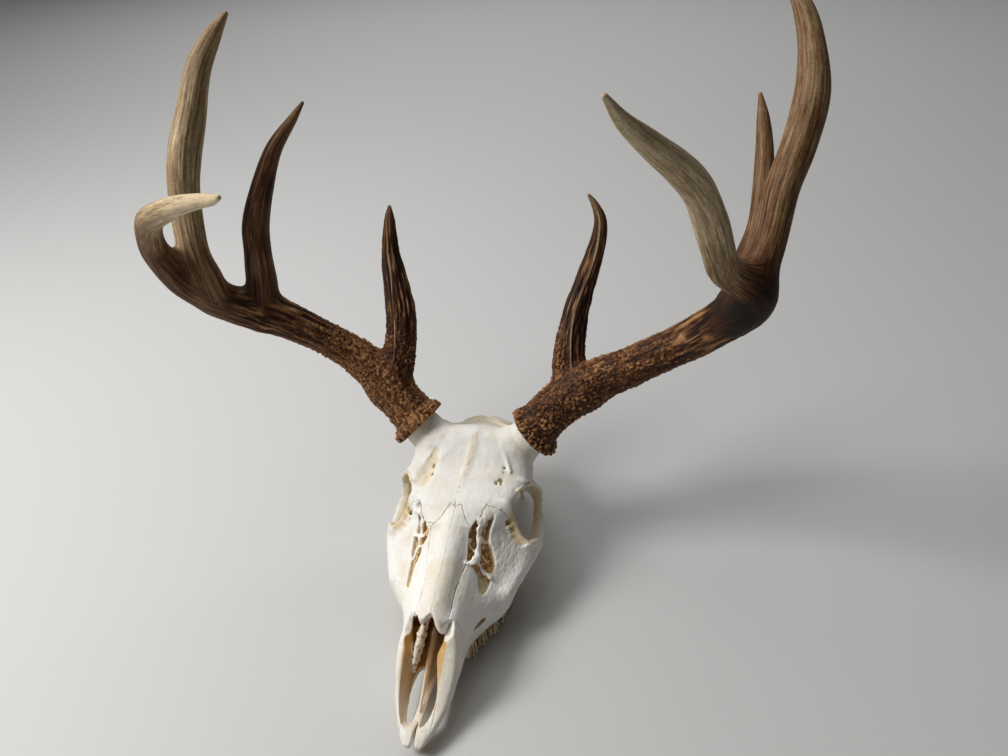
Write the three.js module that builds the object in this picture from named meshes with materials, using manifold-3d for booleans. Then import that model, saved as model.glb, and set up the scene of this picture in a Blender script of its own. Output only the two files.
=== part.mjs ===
// A white-tailed buck's skull with its antlers, life size, as it lies on a table.
// Millimetres. X is the skull's left, Y runs from the nose back, Z is up and the tooth row rests at 0.
// The lofts below are drawn with Y = 0 at the nose, and the whole group is centred at the end.
import * as THREE from 'three';
import { mergeVertices } from 'three/addons/utils/BufferGeometryUtils.js';
import Module from 'manifold-3d';

const wasm = await Module();
wasm.setup();

// ---- driving dimensions -------------------------------------------------------------------
const JOINT_GAP = 0.3;          // clear gap in every suture and at every cut across an antler
const SECTION_STEPS = 2;        // points drawn between two named points of a smooth skull section
const BURR_CENTRE = [48, 227, 106];
const BEAM_AXIS = [0.72, 0.24, 0.65];
const BURR_RADIUS = 23;
const BURR_HEIGHT = 8;
const PEDICLE_LENGTH = 30;
const ORBIT_CENTRE = [52, 174, 66];
const ORBIT_RADII = [38, 22, 20];
const FACE_BACK = 176;          // where the face meets the cranium, at the height of the table
const FACE_SLOPE = -0.21;       // how far that joint leans back for each millimetre up
const PREMAXILLA_BACK = 64;     // the joint between the premaxilla and the maxilla
const NASAL_TIP = 63;
const NASAL_BACK = 158;
const NASAL_THICKNESS = 3;
const ARCH_BACK = 217;          // where the cheek arch meets the cranium in front of the ear
const BAR_TOP = 74;             // where the bar behind the eye meets the cranium
const FORK_RING = { brow: 4, upper: 10 };   // the beam's points where it is cut across
const ROD_SIDES = 8;
const PEDICLE_SIDES = 12;
const BURR_SIDES = 14;
const ANTLER_SIDES = 9;
const TOOTH_SIDES = 6;
const TOOTH_HALF = 0.54;        // a tooth's corner radius as a share of its width and its length

// Half sections of the skull, from the midline on top round the side to the midline below:
// [distance behind the nose, top height, then x and z of four points (the edge of the nasal or of the
// roof, the hollow below it, the widest bulge, the lower edge), and the bottom height].
const FACE_STATIONS = [
  [2.5, 13, 4, 13, 6, 12.5, 6.5, 11, 4.5, 8.5, 8.5],
  [8, 15, 6.5, 15, 9, 14, 10, 12, 7, 8, 8],
  [14, 17, 9.5, 17, 12, 16, 13, 12.5, 9, 8, 8],
  [24, 20, 14, 20, 16, 19, 17, 15.5, 11, 8, 8],
  [34, 27, 17.5, 26.5, 19.6, 24, 20.5, 20, 12.5, 8, 8],
  [46, 38, 20, 37, 22, 33, 22.5, 27, 14, 8.5, 8.5],
  [58, 50, 19, 48, 22.5, 42, 24, 34, 16, 9, 9],
  [70, 64, 17, 60, 21.5, 50, 23.5, 41, 18, 11, 11],
  [82, 67, 15.5, 63, 22, 51, 27, 39, 20.5, 13, 12],
  [96, 70, 15.5, 66, 24, 52, 33.5, 37, 28.5, 14, 12],
  [112, 74, 16.5, 69, 28, 53, 46, 36, 40, 16, 12],
  [130, 80, 17.5, 76, 32, 61, 52, 41, 44, 20, 12],
  [148, 88, 22, 84, 40, 66, 58, 47, 47, 28, 13],
  [162, 92, 37, 86, 45, 67, 60, 50, 44, 34, 15],
];
const CORE_STATIONS = [
  [140, 82, 20, 78, 23, 70, 22, 56, 16, 26, 15],
  [160, 88, 24, 84, 22, 74, 19, 58, 13, 32, 17],
  [175, 92, 26, 88, 22, 78, 18, 60, 12, 36, 22],
  [190, 97, 30, 93, 27, 82, 23, 64, 15, 38, 25],
  [205, 105, 33, 98, 34, 86, 32, 66, 20, 40, 25],
  [218, 111, 34, 103, 38, 88, 38, 66, 27, 38, 23],
  [232, 105, 30, 98, 37, 84, 39, 64, 31, 36, 21],
  [246, 96, 26, 90, 35, 77, 38, 58, 33, 33, 21],
  [258, 88, 22, 83, 35, 70, 39, 52, 34, 32, 22],
  [268, 82, 19, 77, 33, 64, 37, 48, 31, 32, 25],
  [276, 76, 14, 72, 26, 60, 28, 48, 22, 34, 30],
  [281, 67, 9, 65, 14, 58, 15, 48, 12, 37, 34],
];
const ROOF_STATIONS = [
  [142, 85, 18, 82, 24, 79, 27, 76, 18, 73, 72],
  [154, 89, 25, 86, 33, 83, 35, 79, 24, 75, 74],
  [166, 92, 29, 90, 38, 87, 41, 83, 30, 78, 76],
  [180, 95, 32, 93, 43, 90, 47, 85, 36, 80, 79],
  [192, 98, 35, 96, 46, 91, 52, 83, 39, 79, 82],
  [203, 104, 36, 100, 47, 93, 51, 83, 40, 80, 86],
  [214, 111, 36, 105, 45, 95, 46, 87, 38, 82, 90],
  [226, 110, 30, 103, 39, 95, 41, 87, 34, 83, 90],
  [236, 102, 25, 97, 33, 90, 35, 85, 28, 82, 86],
];
const CAVITY_STATIONS = [
  [12, 30, 6, 30, 7.5, 25, 8, 18, 6, 13, 12.5],
  [24, 36, 12.5, 35, 13.5, 28, 14, 20, 9.5, 12.5, 12],
  [36, 48, 16, 46, 17.5, 36, 18, 26, 11.5, 12.5, 12],
  [48, 64, 18, 60, 20, 48, 20, 33, 13, 13, 12.5],
  [60, 78, 16, 76, 20.5, 58, 22, 39, 15, 14.5, 13.5],
  [70, 78, 12, 74, 19, 54, 23, 41, 16, 16, 15],
  [77, 63, 11, 58, 18, 50, 23, 40, 17, 18, 16],
  [94, 66, 11, 61, 19, 50, 24, 40, 19, 20, 18],
  [118, 66, 10, 62, 17, 54, 18, 44, 15, 28, 24],
];

// The cheek teeth, front to back: [distance behind the nose, x, width, length].
const TEETH = [
  [87, 19.5, 8.5, 10],
  [97, 24, 10.5, 10.5],
  [107.5, 29.5, 12.5, 10.5],
  [119.5, 32.5, 14.5, 13],
  [133.5, 34, 16, 14.5],
  [148, 33.5, 15, 14],
];
const TOOTH_LEVELS = [[0, 0.62], [4, 0.97], [22, 0.8]];   // [height, share of the full width]

// Centre lines of the antlers: [x, distance behind the nose, z, radius]. X points to the left antler,
// and is turned over for the right one.
const RIGHT_ANTLER = {
  beam: [
    [51, 228, 110, 17], [60, 232, 120, 16.4], [80, 239, 140, 15.8], [99, 244, 157, 15.2],
    [116, 244, 170, 14], [130, 240, 182, 13.3], [150, 232, 199, 14.6], [171, 230, 207, 15.6],
    [189, 222, 218, 14.6], [202, 212, 232, 13], [212, 201, 249, 11.6], [218, 193, 272, 10.2],
    [213, 184, 290, 9.4], [196, 168, 311, 8.6], [166, 147, 328, 7.3], [134, 122, 343, 5.6],
    [99, 92, 358, 3.6], [81, 74, 366, 2.6], [64, 55, 375, 0.9],
  ],
  brow: [
    [87, 245, 142, 15], [74, 254, 159, 12.8], [69, 268, 182, 12], [73, 281, 205, 10.8],
    [79, 294, 231, 7.8], [80, 304, 257, 4.4], [80, 309, 269, 1],
  ],
  second: [
    [169, 230, 208, 10], [167, 234, 230, 12], [172, 247, 250, 10.8], [175, 259, 270, 10.6],
    [171, 274, 294, 8.8], [161, 288, 321, 6.6], [146, 300, 341, 3.2], [137, 306, 353, 1],
  ],
  third: [
    [197, 213, 227, 9], [197, 209, 246, 12], [204, 214, 268, 11], [212, 234, 304, 11.4],
    [213, 250, 329, 12], [209, 266, 354, 10.8], [203, 281, 382, 9.4], [192, 294, 403, 5.8],
    [181, 301, 417, 1],
  ],
};
const LEFT_ANTLER = {
  beam: [
    [51, 228, 110, 17.4], [61, 232, 124, 17.6], [81, 239, 141, 17.4], [101, 244, 154, 16.6],
    [124, 241, 170, 14.8], [141, 235, 185, 14], [158, 232, 198, 13.8], [172, 226, 211, 14.6],
    [186, 215, 230, 14.6], [199, 205, 248, 14.8], [202, 199, 262, 13.8], [191, 193, 274, 11.8],
    [179, 184, 286, 10.4], [172, 168, 308, 9.6], [165, 151, 331, 9.3], [156, 131, 355, 8.6],
    [145, 112, 373, 7.8], [132, 94, 389, 6.4], [120, 72, 406, 3.6], [113, 51, 422, 0.9],
  ],
  brow: [
    [90, 243, 144, 15], [77, 252, 151, 13.6], [75, 262, 167, 12.4], [77, 275, 187, 10.8],
    [82, 288, 209, 9], [91, 301, 239, 6.8], [94, 308, 260, 5.2], [89, 312, 273, 3], [83, 314, 281, 1],
  ],
  second: [
    [190, 212, 238, 8], [196, 222, 268, 8.6], [203, 240, 289, 7], [205, 258, 308, 6.7],
    [205, 277, 328, 6], [203, 291, 345, 4.4], [200, 302, 360, 0.9],
  ],
  third: [
    [199, 204, 250, 9], [203, 206, 276, 11.4], [208, 212, 297, 10.3], [212, 226, 321, 10.8],
    [220, 241, 345, 11.2], [225, 257, 370, 10.6], [223, 272, 394, 8.4], [216, 285, 414, 6],
    [202, 301, 433, 0.9],
  ],
};

const BONE_WHITE = 0xece6d8;
const BONE_CREAM = 0xe2d6bd;
const ANTLER_DARK = 0x4a3020;
const ANTLER_BROWN = 0x5e4632;
const ANTLER_PALE = 0x8c7a60;

const material = (color, roughness) => new THREE.MeshStandardMaterial({ color, roughness, metalness: 0 });
const group = new THREE.Group();

// ---- surfaces and solids ------------------------------------------------------------------

/** Closed surface through equal rings of points, with a fan over each end, facing outwards. */
function ringSurface(rings) {
  const count = rings[0].length;
  const points = rings.flat();
  const faces = [];
  for (let ring = 0; ring < rings.length - 1; ring += 1) {
    for (let i = 0; i < count; i += 1) {
      const a = ring * count + i;
      const b = ring * count + ((i + 1) % count);
      faces.push([a, b, b + count], [a, b + count, a + count]);
    }
  }
  const middle = (ring) => ring.reduce((sum, p) => sum.add(p), new THREE.Vector3()).divideScalar(count);
  const first = points.push(middle(rings[0])) - 1;
  const last = points.push(middle(rings[rings.length - 1])) - 1;
  const lastRing = (rings.length - 1) * count;
  for (let i = 0; i < count; i += 1) {
    const next = (i + 1) % count;
    faces.push([first, next, i], [last, lastRing + i, lastRing + next]);
  }
  const volume = faces.reduce((sum, [a, b, c]) => {
    const normal = new THREE.Vector3().crossVectors(points[b], points[c]);
    return sum + points[a].dot(normal);
  }, 0);
  const outward = volume > 0 ? faces : faces.map(([a, b, c]) => [a, c, b]);
  return { points, faces: outward };
}

/** A solid from a closed surface. */
function solidOf({ points, faces }) {
  const vertProperties = new Float32Array(points.flatMap((p) => [p.x, p.y, p.z]));
  const triVerts = new Uint32Array(faces.flat());
  return new wasm.Manifold(new wasm.Mesh({ numProp: 3, vertProperties, triVerts }));
}

/** A solid from one of three's closed shapes, moved into place by a matrix. */
function solidFrom(shape, matrix) {
  shape.deleteAttribute('normal');
  shape.deleteAttribute('uv');
  const merged = mergeVertices(shape).applyMatrix4(matrix);
  const position = merged.getAttribute('position').array;
  const vertProperties = new Float32Array(position);
  const triVerts = new Uint32Array(merged.getIndex().array);
  return new wasm.Manifold(new wasm.Mesh({ numProp: 3, vertProperties, triVerts }));
}

/** An egg: a sphere stretched to three radii. */
function egg(centre, radii) {
  const matrix = new THREE.Matrix4().makeTranslation(...centre);
  matrix.scale(new THREE.Vector3(...radii));
  return solidFrom(new THREE.SphereGeometry(1, 9, 5), matrix);
}

/** Value of each column between the stations, by a smooth curve through them. */
function stationAt(stations, place) {
  const last = stations.length - 1;
  const span = Math.min(Math.floor(place), last - 1);
  const t = place - span;
  const [p0, p1, p2, p3] = [-1, 0, 1, 2].map((k) => stations[Math.min(Math.max(span + k, 0), last)]);
  return p1.map((_, i) => {
    const slopeIn = (p2[i] - p0[i]) / 2;
    const slopeOut = (p3[i] - p1[i]) / 2;
    const rise = p2[i] - p1[i];
    const square = 3 * rise - 2 * slopeIn - slopeOut;
    const cube = slopeIn + slopeOut - 2 * rise;
    return p1[i] + t * (slopeIn + t * (square + t * cube));
  });
}

/** One whole section of the skull from a station's named points. */
function sectionRing(steps, [back, top, x1, z1, x2, z2, x3, z3, x4, z4, bottom]) {
  const half = [[0, top], [x1, z1], [x2, z2], [x3, z3], [x4, z4], [0, bottom]];
  const mirrored = half.slice(1, -1).reverse().map(([x, z]) => [-x, z]);
  const outline = [...half, ...mirrored].map(([x, z]) => new THREE.Vector3(x, back, z));
  const curve = new THREE.CatmullRomCurve3(outline, true, 'centripetal');
  return curve.getPoints(outline.length * steps).slice(0, -1);
}

/** A body of the skull: its sections joined along the length. */
function loft(stations, steps = 1) {
  return solidOf(ringSurface(stations.map((station) => sectionRing(steps, station))));
}

/** A rod along a path of [x, y, z, radius], with its section flattened by squash across `flatAxis`. */
function rodRings(path, sides, squash = 1, flatAxis = [0, 0, 1]) {
  const centres = path.map(([x, y, z]) => new THREE.Vector3(x, y, z));
  const flat = new THREE.Vector3(...flatAxis);
  return centres.map((centre, i) => {
    const before = centres[Math.max(i - 1, 0)];
    const after = centres[Math.min(i + 1, centres.length - 1)];
    const along = new THREE.Vector3().subVectors(after, before).normalize();
    const wide = new THREE.Vector3().crossVectors(along, flat).normalize();
    const thin = new THREE.Vector3().crossVectors(wide, along).normalize();
    const ring = [];
    for (let k = 0; k < sides; k += 1) {
      const angle = (2 * Math.PI * k) / sides;
      const point = centre.clone();
      point.addScaledVector(wide, path[i][3] * Math.cos(angle));
      point.addScaledVector(thin, path[i][3] * squash * Math.sin(angle));
      ring.push(point);
    }
    return ring;
  });
}

const rod = (path, sides, squash, flatAxis) => solidOf(ringSurface(rodRings(path, sides, squash, flatAxis)));
const mirrored = (path) => path.map(([x, ...rest]) => [-x, ...rest]);
const turnedTo = (side, path) => (side > 0 ? path : mirrored(path));
const joined = (solids) => solids.reduce((whole, solid) => whole.add(solid));
const bothSides = (make) => [1, -1].map((side) => make(side));
const grown = (path, by) => path.map(([x, y, z, r]) => [x, y, z, r + by]);

/** Adds one named sub-part to the group. */
function addNode(name, solid, look) {
  const mesh = solid.getMesh();
  const shape = new THREE.BufferGeometry();
  shape.setAttribute('position', new THREE.BufferAttribute(mesh.vertProperties, 3));
  shape.setIndex(new THREE.BufferAttribute(mesh.triVerts, 1));
  shape.computeVertexNormals();
  const node = new THREE.Mesh(shape, look);
  node.name = name;
  group.add(node);
}

// ---- the skull ----------------------------------------------------------------------------

/** A pedicle: the stump of bone on the frontal that carries an antler. */
function pedicle(side) {
  const path = [0, 0.35, 0.7, 1].map((t) => {
    const back = PEDICLE_LENGTH * (1 - t) + JOINT_GAP;
    const [x, y, z] = BURR_CENTRE.map((value, i) => value - back * BEAM_AXIS[i]);
    return [side * x, y, z, 16 + 10 * (1 - t) ** 2];
  });
  return rod(path, PEDICLE_SIDES);
}

/** The bony socket of the eye, cut through the side of the face. */
function orbit(side) {
  const [x, y, z] = ORBIT_CENTRE;
  return egg([side * x, y, z], ORBIT_RADII);
}

/** The cheek arch: from below the eye back to the ear, with the bar that closes the socket behind. */
const ARCH_PATH = [
  [51, 146, 41, 9], [56, 154, 42, 9], [60, 164, 42, 8.5], [61, 176, 42.5, 7], [60, 188, 44, 6.5],
  [57, 202, 46, 6], [51, 214, 48, 6], [44, 224, 49, 6.5], [34, 232, 48, 7],
];
const ORBIT_BAR_PATH = [
  [60, 180, 44, 6], [61, 190, 51, 6], [60, 197, 61, 5.5], [57, 200, 71, 5], [52, 198, 79, 5.5],
  [45, 192, 86, 7],
];
const ORBIT_FRONT_PATH = [
  [59, 160, 52, 4], [54, 151.5, 56, 4], [47, 154.5, 61, 4.5], [41.5, 159.5, 70, 4.5],
  [36, 163, 84, 5],
];

const cheekBar = (side, path, squash) => rod(turnedTo(side, path), ROD_SIDES, squash, [1, 0, 0]);
const cheekArch = (side) => cheekBar(side, ARCH_PATH, 0.45).add(cheekBar(side, ORBIT_BAR_PATH, 0.5));
const orbitFront = (side) => rod(turnedTo(side, ORBIT_FRONT_PATH), ROD_SIDES, 0.55, [0, 1, 0.2]);

/** The part of a solid ahead of or behind a plane across the skull, less half a joint gap. */
const ahead = (solid, back) => solid.trimByPlane([0, -1, 0], -(back - JOINT_GAP / 2));
const behind = (solid, back) => solid.trimByPlane([0, 1, 0], back + JOINT_GAP / 2);
const above = (solid, height) => solid.trimByPlane([0, 0, 1], height + JOINT_GAP / 2);
const below = (solid, height) => solid.trimByPlane([0, 0, -1], -(height - JOINT_GAP / 2));

/** One cheek tooth, with two low cusps worn to a flat that meets the table. */
function tooth([back, x, width, length], side) {
  const rings = TOOTH_LEVELS.map(([z, scale]) => {
    const ring = [];
    for (let k = 0; k < TOOTH_SIDES; k += 1) {
      const angle = (2 * Math.PI * (k + 0.5)) / TOOTH_SIDES;
      const dx = TOOTH_HALF * width * scale * Math.cos(angle);
      const dy = TOOTH_HALF * length * scale * Math.sin(angle);
      ring.push(new THREE.Vector3(side * x + dx, back + dy, z));
    }
    return ring;
  });
  return solidOf(ringSurface(rings));
}

/** The long slot through the floor of the nose, beside the midline. */
function palatineSlot(side) {
  const outline = new THREE.Shape();
  outline.moveTo(side * 5.5, 15);
  outline.quadraticCurveTo(side * 8, 18, side * 10, 30);
  outline.quadraticCurveTo(side * 12, 46, side * 8.5, 53.5);
  outline.quadraticCurveTo(side * 5, 53, side * 4, 40);
  outline.quadraticCurveTo(side * 2.6, 22, side * 5.5, 15);
  const shape = new THREE.ExtrudeGeometry(outline, { depth: 14, bevelEnabled: false, curveSegments: 5 });
  return solidFrom(shape, new THREE.Matrix4().makeTranslation(0, 0, 4));
}

/** The gap in the cheek ahead of the eye, beside the nasal bone. */
const VACUITY_PATH = [
  [29, 103, 49, 2], [26.5, 111, 55, 6], [25, 120, 60, 8], [25, 133, 67, 10], [24, 146, 76, 8.5],
  [25, 156, 82, 4],
];
const vacuity = (side) => rod(turnedTo(side, VACUITY_PATH), ROD_SIDES, 1.5, [0, -0.6, 1]);

/** The pointed foot of bone behind the ear, whose tip rests on the table. */
function paroccipital(side) {
  const path = [[31, 258, 44, 9], [31, 261, 26, 6.5], [30, 263, 10, 4.4], [29.5, 264, 0, 2.6]];
  const foot = rod(turnedTo(side, path), ROD_SIDES, 0.7, [1, 0, 0]);
  return foot.trimByPlane([0, 0, 1], 0);
}

/** The thin wing of bone below the choanae. */
function pterygoid(side) {
  const path = [[11, 158, 26, 10], [10.5, 170, 23, 9], [10.5, 184, 26, 7], [11, 198, 32, 5]];
  return rod(turnedTo(side, path), ROD_SIDES, 0.22, [1, 0, 0]);
}

const faceJoint = new THREE.Vector3(0, 1, -FACE_SLOPE).normalize();
const faceJointAt = FACE_BACK * faceJoint.y;
const faceForward = faceJoint.clone().negate();
const aheadOfFace = (solid) => solid.trimByPlane(faceForward.toArray(), -(faceJointAt - JOINT_GAP / 2));
const behindFace = (solid) => solid.trimByPlane(faceJoint.toArray(), faceJointAt + JOINT_GAP / 2);

const sockets = joined(bothSides(orbit));
const cheeks = bothSides(cheekArch);
const cheekStubs = joined(cheeks.map((cheek) => {
  const backStub = behind(below(cheek, BAR_TOP - 8), ARCH_BACK);
  return aheadOfFace(cheek).add(backStub).add(above(cheek, BAR_TOP));
}));
const braincase = joined([
  loft(CORE_STATIONS, SECTION_STEPS),
  loft(ROOF_STATIONS),
  ...bothSides(pedicle),
  ...bothSides((side) => egg([side * 13, 277, 43], [8.5, 8, 12])),
  ...bothSides((side) => egg([side * 21, 248, 27], [8.5, 13, 11])),
  ...bothSides((side) => egg([side * 36, 243, 46], [9, 12, 9])),
  ...bothSides(paroccipital),
  ...bothSides(pterygoid),
  egg([0, 270, 78], [22, 6, 6]),
]);
const snout = loft(FACE_STATIONS, SECTION_STEPS).subtract(egg([0, 176, 16], [26, 36, 14]));
const nasalCavity = loft(CAVITY_STATIONS);
const slots = joined([...bothSides(palatineSlot), ...bothSides(vacuity)]);
const brainHole = egg([0, 284, 47], [9.5, 18, 9]);
const teeth = joined(bothSides((side) => joined(TEETH.map((place) => tooth(place, side)))));
const NOTCH_PATH = [[0, -4, 2, 2], [0, 6, 12, 1.6], [0, 16, 14, 1], [0, 22, 16, 0.4]];
const noseNotch = rod(NOTCH_PATH, ROD_SIDES, 6, [0, 0, 1]);

const skull = braincase.add(snout).subtract(sockets).add(cheekStubs).add(teeth)
  .add(joined(bothSides(orbitFront)))
  .subtract(nasalCavity).subtract(slots).subtract(brainHole).subtract(noseNotch);

/** The two nasal bones as a curved plate over the nose; `by` grows it to cut its own bed. */
function nasalPlate(by, cover) {
  const stations = [0, 0.12, 0.3, 0.55, 0.8, 0.93, 1].map((t) => {
    const back = NASAL_TIP + (NASAL_BACK - NASAL_TIP) * t;
    const [, top, edgeX, edgeZ] = faceAt(back);
    const wide = edgeX * (1 - 0.42 * Math.max(1 - 5 * t, 0)) * (1 - 0.75 * Math.max(t - 0.8, 0) / 0.2) + by;
    const edge = top - (top - edgeZ) * Math.min(wide / edgeX, 1) - 1;
    const under = top - NASAL_THICKNESS - by;
    const inner = (top + edge) / 2 - NASAL_THICKNESS * 0.8 - by;
    const outside = [top + cover, 0.6 * wide, top + cover - 1, wide, edge + cover];
    return [back, ...outside, wide, edge - 2 - by, 0.6 * wide, inner, under];
  });
  return loft(stations);
}

/** The face's section at a distance behind the nose. */
function faceAt(back) {
  const after = FACE_STATIONS.findIndex(([place]) => place > back);
  const span = after < 0 ? FACE_STATIONS.length - 2 : after - 1;
  const [start, end] = [FACE_STATIONS[span][0], FACE_STATIONS[span + 1][0]];
  return stationAt(FACE_STATIONS, span + (back - start) / (end - start));
}

const nasalBed = nasalPlate(JOINT_GAP, 8);
const nasals = nasalPlate(0, 0).subtract(egg([0, 58, 60], [6, 14, 16]));
const skullWithoutNasals = skull.subtract(nasalBed);
const face = aheadOfFace(skullWithoutNasals);

addNode('cranium', behindFace(skullWithoutNasals), material(BONE_WHITE, 0.62));
addNode('upper_jaw_with_teeth', behind(face, PREMAXILLA_BACK), material(BONE_WHITE, 0.6));

/** The left or right half of a solid, less half a joint gap at the midline. */
const halfOf = (solid, side) => solid.trimByPlane([side, 0, 0], JOINT_GAP / 2);
for (const [name, side] of [['left', 1], ['right', -1]]) {
  addNode(`premaxilla_${name}`, halfOf(ahead(face, PREMAXILLA_BACK), side), material(BONE_CREAM, 0.6));
  addNode(`nasal_${name}`, halfOf(nasals, side), material(BONE_WHITE, 0.6));
  const cheek = cheeks[side > 0 ? 0 : 1];
  const arch = below(ahead(behindFace(cheek), ARCH_BACK), BAR_TOP);
  addNode(`cheek_arch_${name}`, arch, material(BONE_CREAM, 0.6));
}

// ---- the antlers --------------------------------------------------------------------------

/** The beaded ring at the foot of an antler. */
function burr(side) {
  const axis = new THREE.Vector3(...BEAM_AXIS).normalize();
  const foot = new THREE.Vector3(...BURR_CENTRE);
  const profile = [[0, 15.5], [0.1, 21], [0.45, BURR_RADIUS], [0.8, 20.5], [1, 17]];
  const path = profile.map(([t, radius]) => {
    const centre = foot.clone().addScaledVector(axis, t * BURR_HEIGHT);
    return [side * centre.x, centre.y, centre.z, radius];
  });
  return rod(path, BURR_SIDES);
}

/** The cut across the beam at one of its named points. */
function beamCut(beam, index, side) {
  const before = new THREE.Vector3(...beam[index - 1]);
  const after = new THREE.Vector3(...beam[index + 1]);
  const normal = after.sub(before).normalize();
  const centre = new THREE.Vector3(...beam[index]);
  normal.x *= side;
  centre.x *= side;
  return { normal, offset: normal.dot(centre) };
}

/** The largest body that a cut leaves, without the chips between two faceted surfaces. */
function mainBody(solid) {
  return solid.decompose().reduce((best, piece) => (piece.volume() > best.volume() ? piece : best));
}

/** One antler: each tine is cut clear of the beam, and the beam is cut across at two of its forks. */
function addAntler(name, side, { beam, brow, second, third }) {
  const lowerPath = beam.slice(0, FORK_RING.brow + 3);
  const middlePath = beam.slice(FORK_RING.brow - 2, FORK_RING.upper + 3);
  const upperPath = beam.slice(FORK_RING.upper - 2);
  const browCut = beamCut(beam, FORK_RING.brow, side);
  const upperCut = beamCut(beam, FORK_RING.upper, side);
  const past = (solid, cut) => solid.trimByPlane(cut.normal.toArray(), cut.offset + JOINT_GAP / 2);
  const before = (solid, { normal, offset }) => (
    solid.trimByPlane(normal.clone().negate().toArray(), -offset + JOINT_GAP / 2));
  const limb = (path) => rod(turnedTo(side, path), ANTLER_SIDES);
  const clear = (path) => rod(turnedTo(side, grown(path, JOINT_GAP)), ANTLER_SIDES);
  const wholeBeam = clear(beam).add(limb(beam));
  const thirdTine = mainBody(limb(third).subtract(wholeBeam));
  const secondTine = mainBody(limb(second).subtract(wholeBeam).subtract(clear(third)));
  const browTine = mainBody(limb(brow).subtract(wholeBeam));
  const lowerBeam = before(burr(side).add(limb(lowerPath)), browCut);
  const middleBeam = before(past(limb(middlePath), browCut), upperCut);
  addNode(`antler_${name}_lower_beam`, lowerBeam, material(ANTLER_DARK, 0.8));
  addNode(`antler_${name}_brow_tine`, browTine, material(ANTLER_DARK, 0.75));
  addNode(`antler_${name}_middle_beam`, middleBeam, material(ANTLER_BROWN, 0.65));
  addNode(`antler_${name}_second_tine`, secondTine, material(ANTLER_BROWN, 0.55));
  addNode(`antler_${name}_third_tine`, thirdTine, material(ANTLER_BROWN, 0.55));
  addNode(`antler_${name}_upper_beam`, past(limb(upperPath), upperCut), material(ANTLER_PALE, 0.5));
}
addAntler('left', 1, LEFT_ANTLER);
addAntler('right', -1, RIGHT_ANTLER);

// ---- the finished group -------------------------------------------------------------------
const box = new THREE.Box3().setFromObject(group);
group.position.set(-(box.min.x + box.max.x) / 2, -(box.min.y + box.max.y) / 2, -box.min.z);

export default group;
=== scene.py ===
# %% [markdown]
# # A white-tailed buck's skull, life size
# This lesson builds the upper skull of a white-tailed deer with both antlers, as a museum shows it.
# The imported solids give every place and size. What is added here is the real surface: thin bone round
# the nose and eyes, sutures, teeth, and antlers with beads and grooves.

import bpy
import numpy as np
import openvdb as vdb
from mathutils import Matrix, Vector


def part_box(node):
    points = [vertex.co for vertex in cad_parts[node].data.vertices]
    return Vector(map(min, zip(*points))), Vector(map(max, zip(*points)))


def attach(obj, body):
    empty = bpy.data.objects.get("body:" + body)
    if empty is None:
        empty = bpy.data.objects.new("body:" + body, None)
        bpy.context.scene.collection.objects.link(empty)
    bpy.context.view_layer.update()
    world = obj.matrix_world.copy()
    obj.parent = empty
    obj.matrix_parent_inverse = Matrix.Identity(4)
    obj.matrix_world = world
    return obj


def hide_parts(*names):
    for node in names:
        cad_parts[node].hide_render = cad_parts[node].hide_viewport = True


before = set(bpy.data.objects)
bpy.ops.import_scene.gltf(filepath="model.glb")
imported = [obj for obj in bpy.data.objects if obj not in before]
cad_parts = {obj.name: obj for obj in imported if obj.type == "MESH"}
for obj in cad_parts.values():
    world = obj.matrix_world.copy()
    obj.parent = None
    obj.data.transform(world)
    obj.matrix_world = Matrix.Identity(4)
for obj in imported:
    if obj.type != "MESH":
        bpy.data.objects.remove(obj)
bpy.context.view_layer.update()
print("solids:", sorted(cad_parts))

# %% [markdown]
# ## Where things are
# A skull is measured from the tip of its nose, so all shapes below are drawn in millimetres as
# (x, back, height): x to the skull's left, back from the tip of the nose, height above the table.
# One shift, taken from the solids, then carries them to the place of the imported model.

# %% The skull's own coordinates
HALF_GAP_MM = 0.15
NOSE_TIP_MM = 2.5
low_corner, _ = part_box("premaxilla_left")
SHIFT_MM = np.array([low_corner.x * 1000 - HALF_GAP_MM, low_corner.y * 1000 - NOSE_TIP_MM, 0.0])
print("shift to the packed model, mm:", SHIFT_MM.round(3))


def to_metres(points):
    """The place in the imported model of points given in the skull's own millimetres."""
    return (np.asarray(points, float) + SHIFT_MM) / 1000


# %% [markdown]
# ## Camera
# The camera stands above and ahead of the nose and looks down along the face. Its direction is given
# by three unit vectors: to the picture's right, down the picture, and straight ahead.

# %% Camera
CAMERA_MM = (135.424, -241.710, 495.560)
CAMERA_RIGHT = Vector((0.98028752, 0.19130893, -0.04936868))
CAMERA_DOWN = Vector((0.06971227, -0.56871124, -0.81957777))
CAMERA_AHEAD = Vector((-0.18486907, 0.79998026, -0.57083711))
LENS_MM = 26.357

camera_data = bpy.data.cameras.new("camera")
camera_data.sensor_width = 36
camera_data.lens = LENS_MM
camera_data.clip_start = 0.01
camera = bpy.data.objects.new("camera", camera_data)
camera_turn = Matrix((CAMERA_RIGHT, -CAMERA_DOWN, -CAMERA_AHEAD)).transposed()
camera.matrix_world = Matrix.Translation(to_metres(CAMERA_MM)) @ camera_turn.to_4x4()
bpy.context.scene.collection.objects.link(camera)
bpy.context.scene.camera = camera
print("camera at", [round(v, 3) for v in camera.location])

# %% [markdown]
# ## Materials from nodes
# A material in Blender is a small net of nodes. These helpers add one node at a time, with its
# settings and its links in one call, so each material below reads as a list of what it is made of.

# %% Nodes in few words


def put(tree, kind, inputs=None, **options):
    """Adds one node: options are its own settings, inputs are values or links for its sockets."""
    made = tree.nodes.new(kind)
    for name, value in options.items():
        setattr(made, name, value)
    for name, value in (inputs or {}).items():
        if isinstance(value, bpy.types.NodeSocket):
            tree.links.new(value, made.inputs[name])
        else:
            made.inputs[name].default_value = value
    return made


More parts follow.
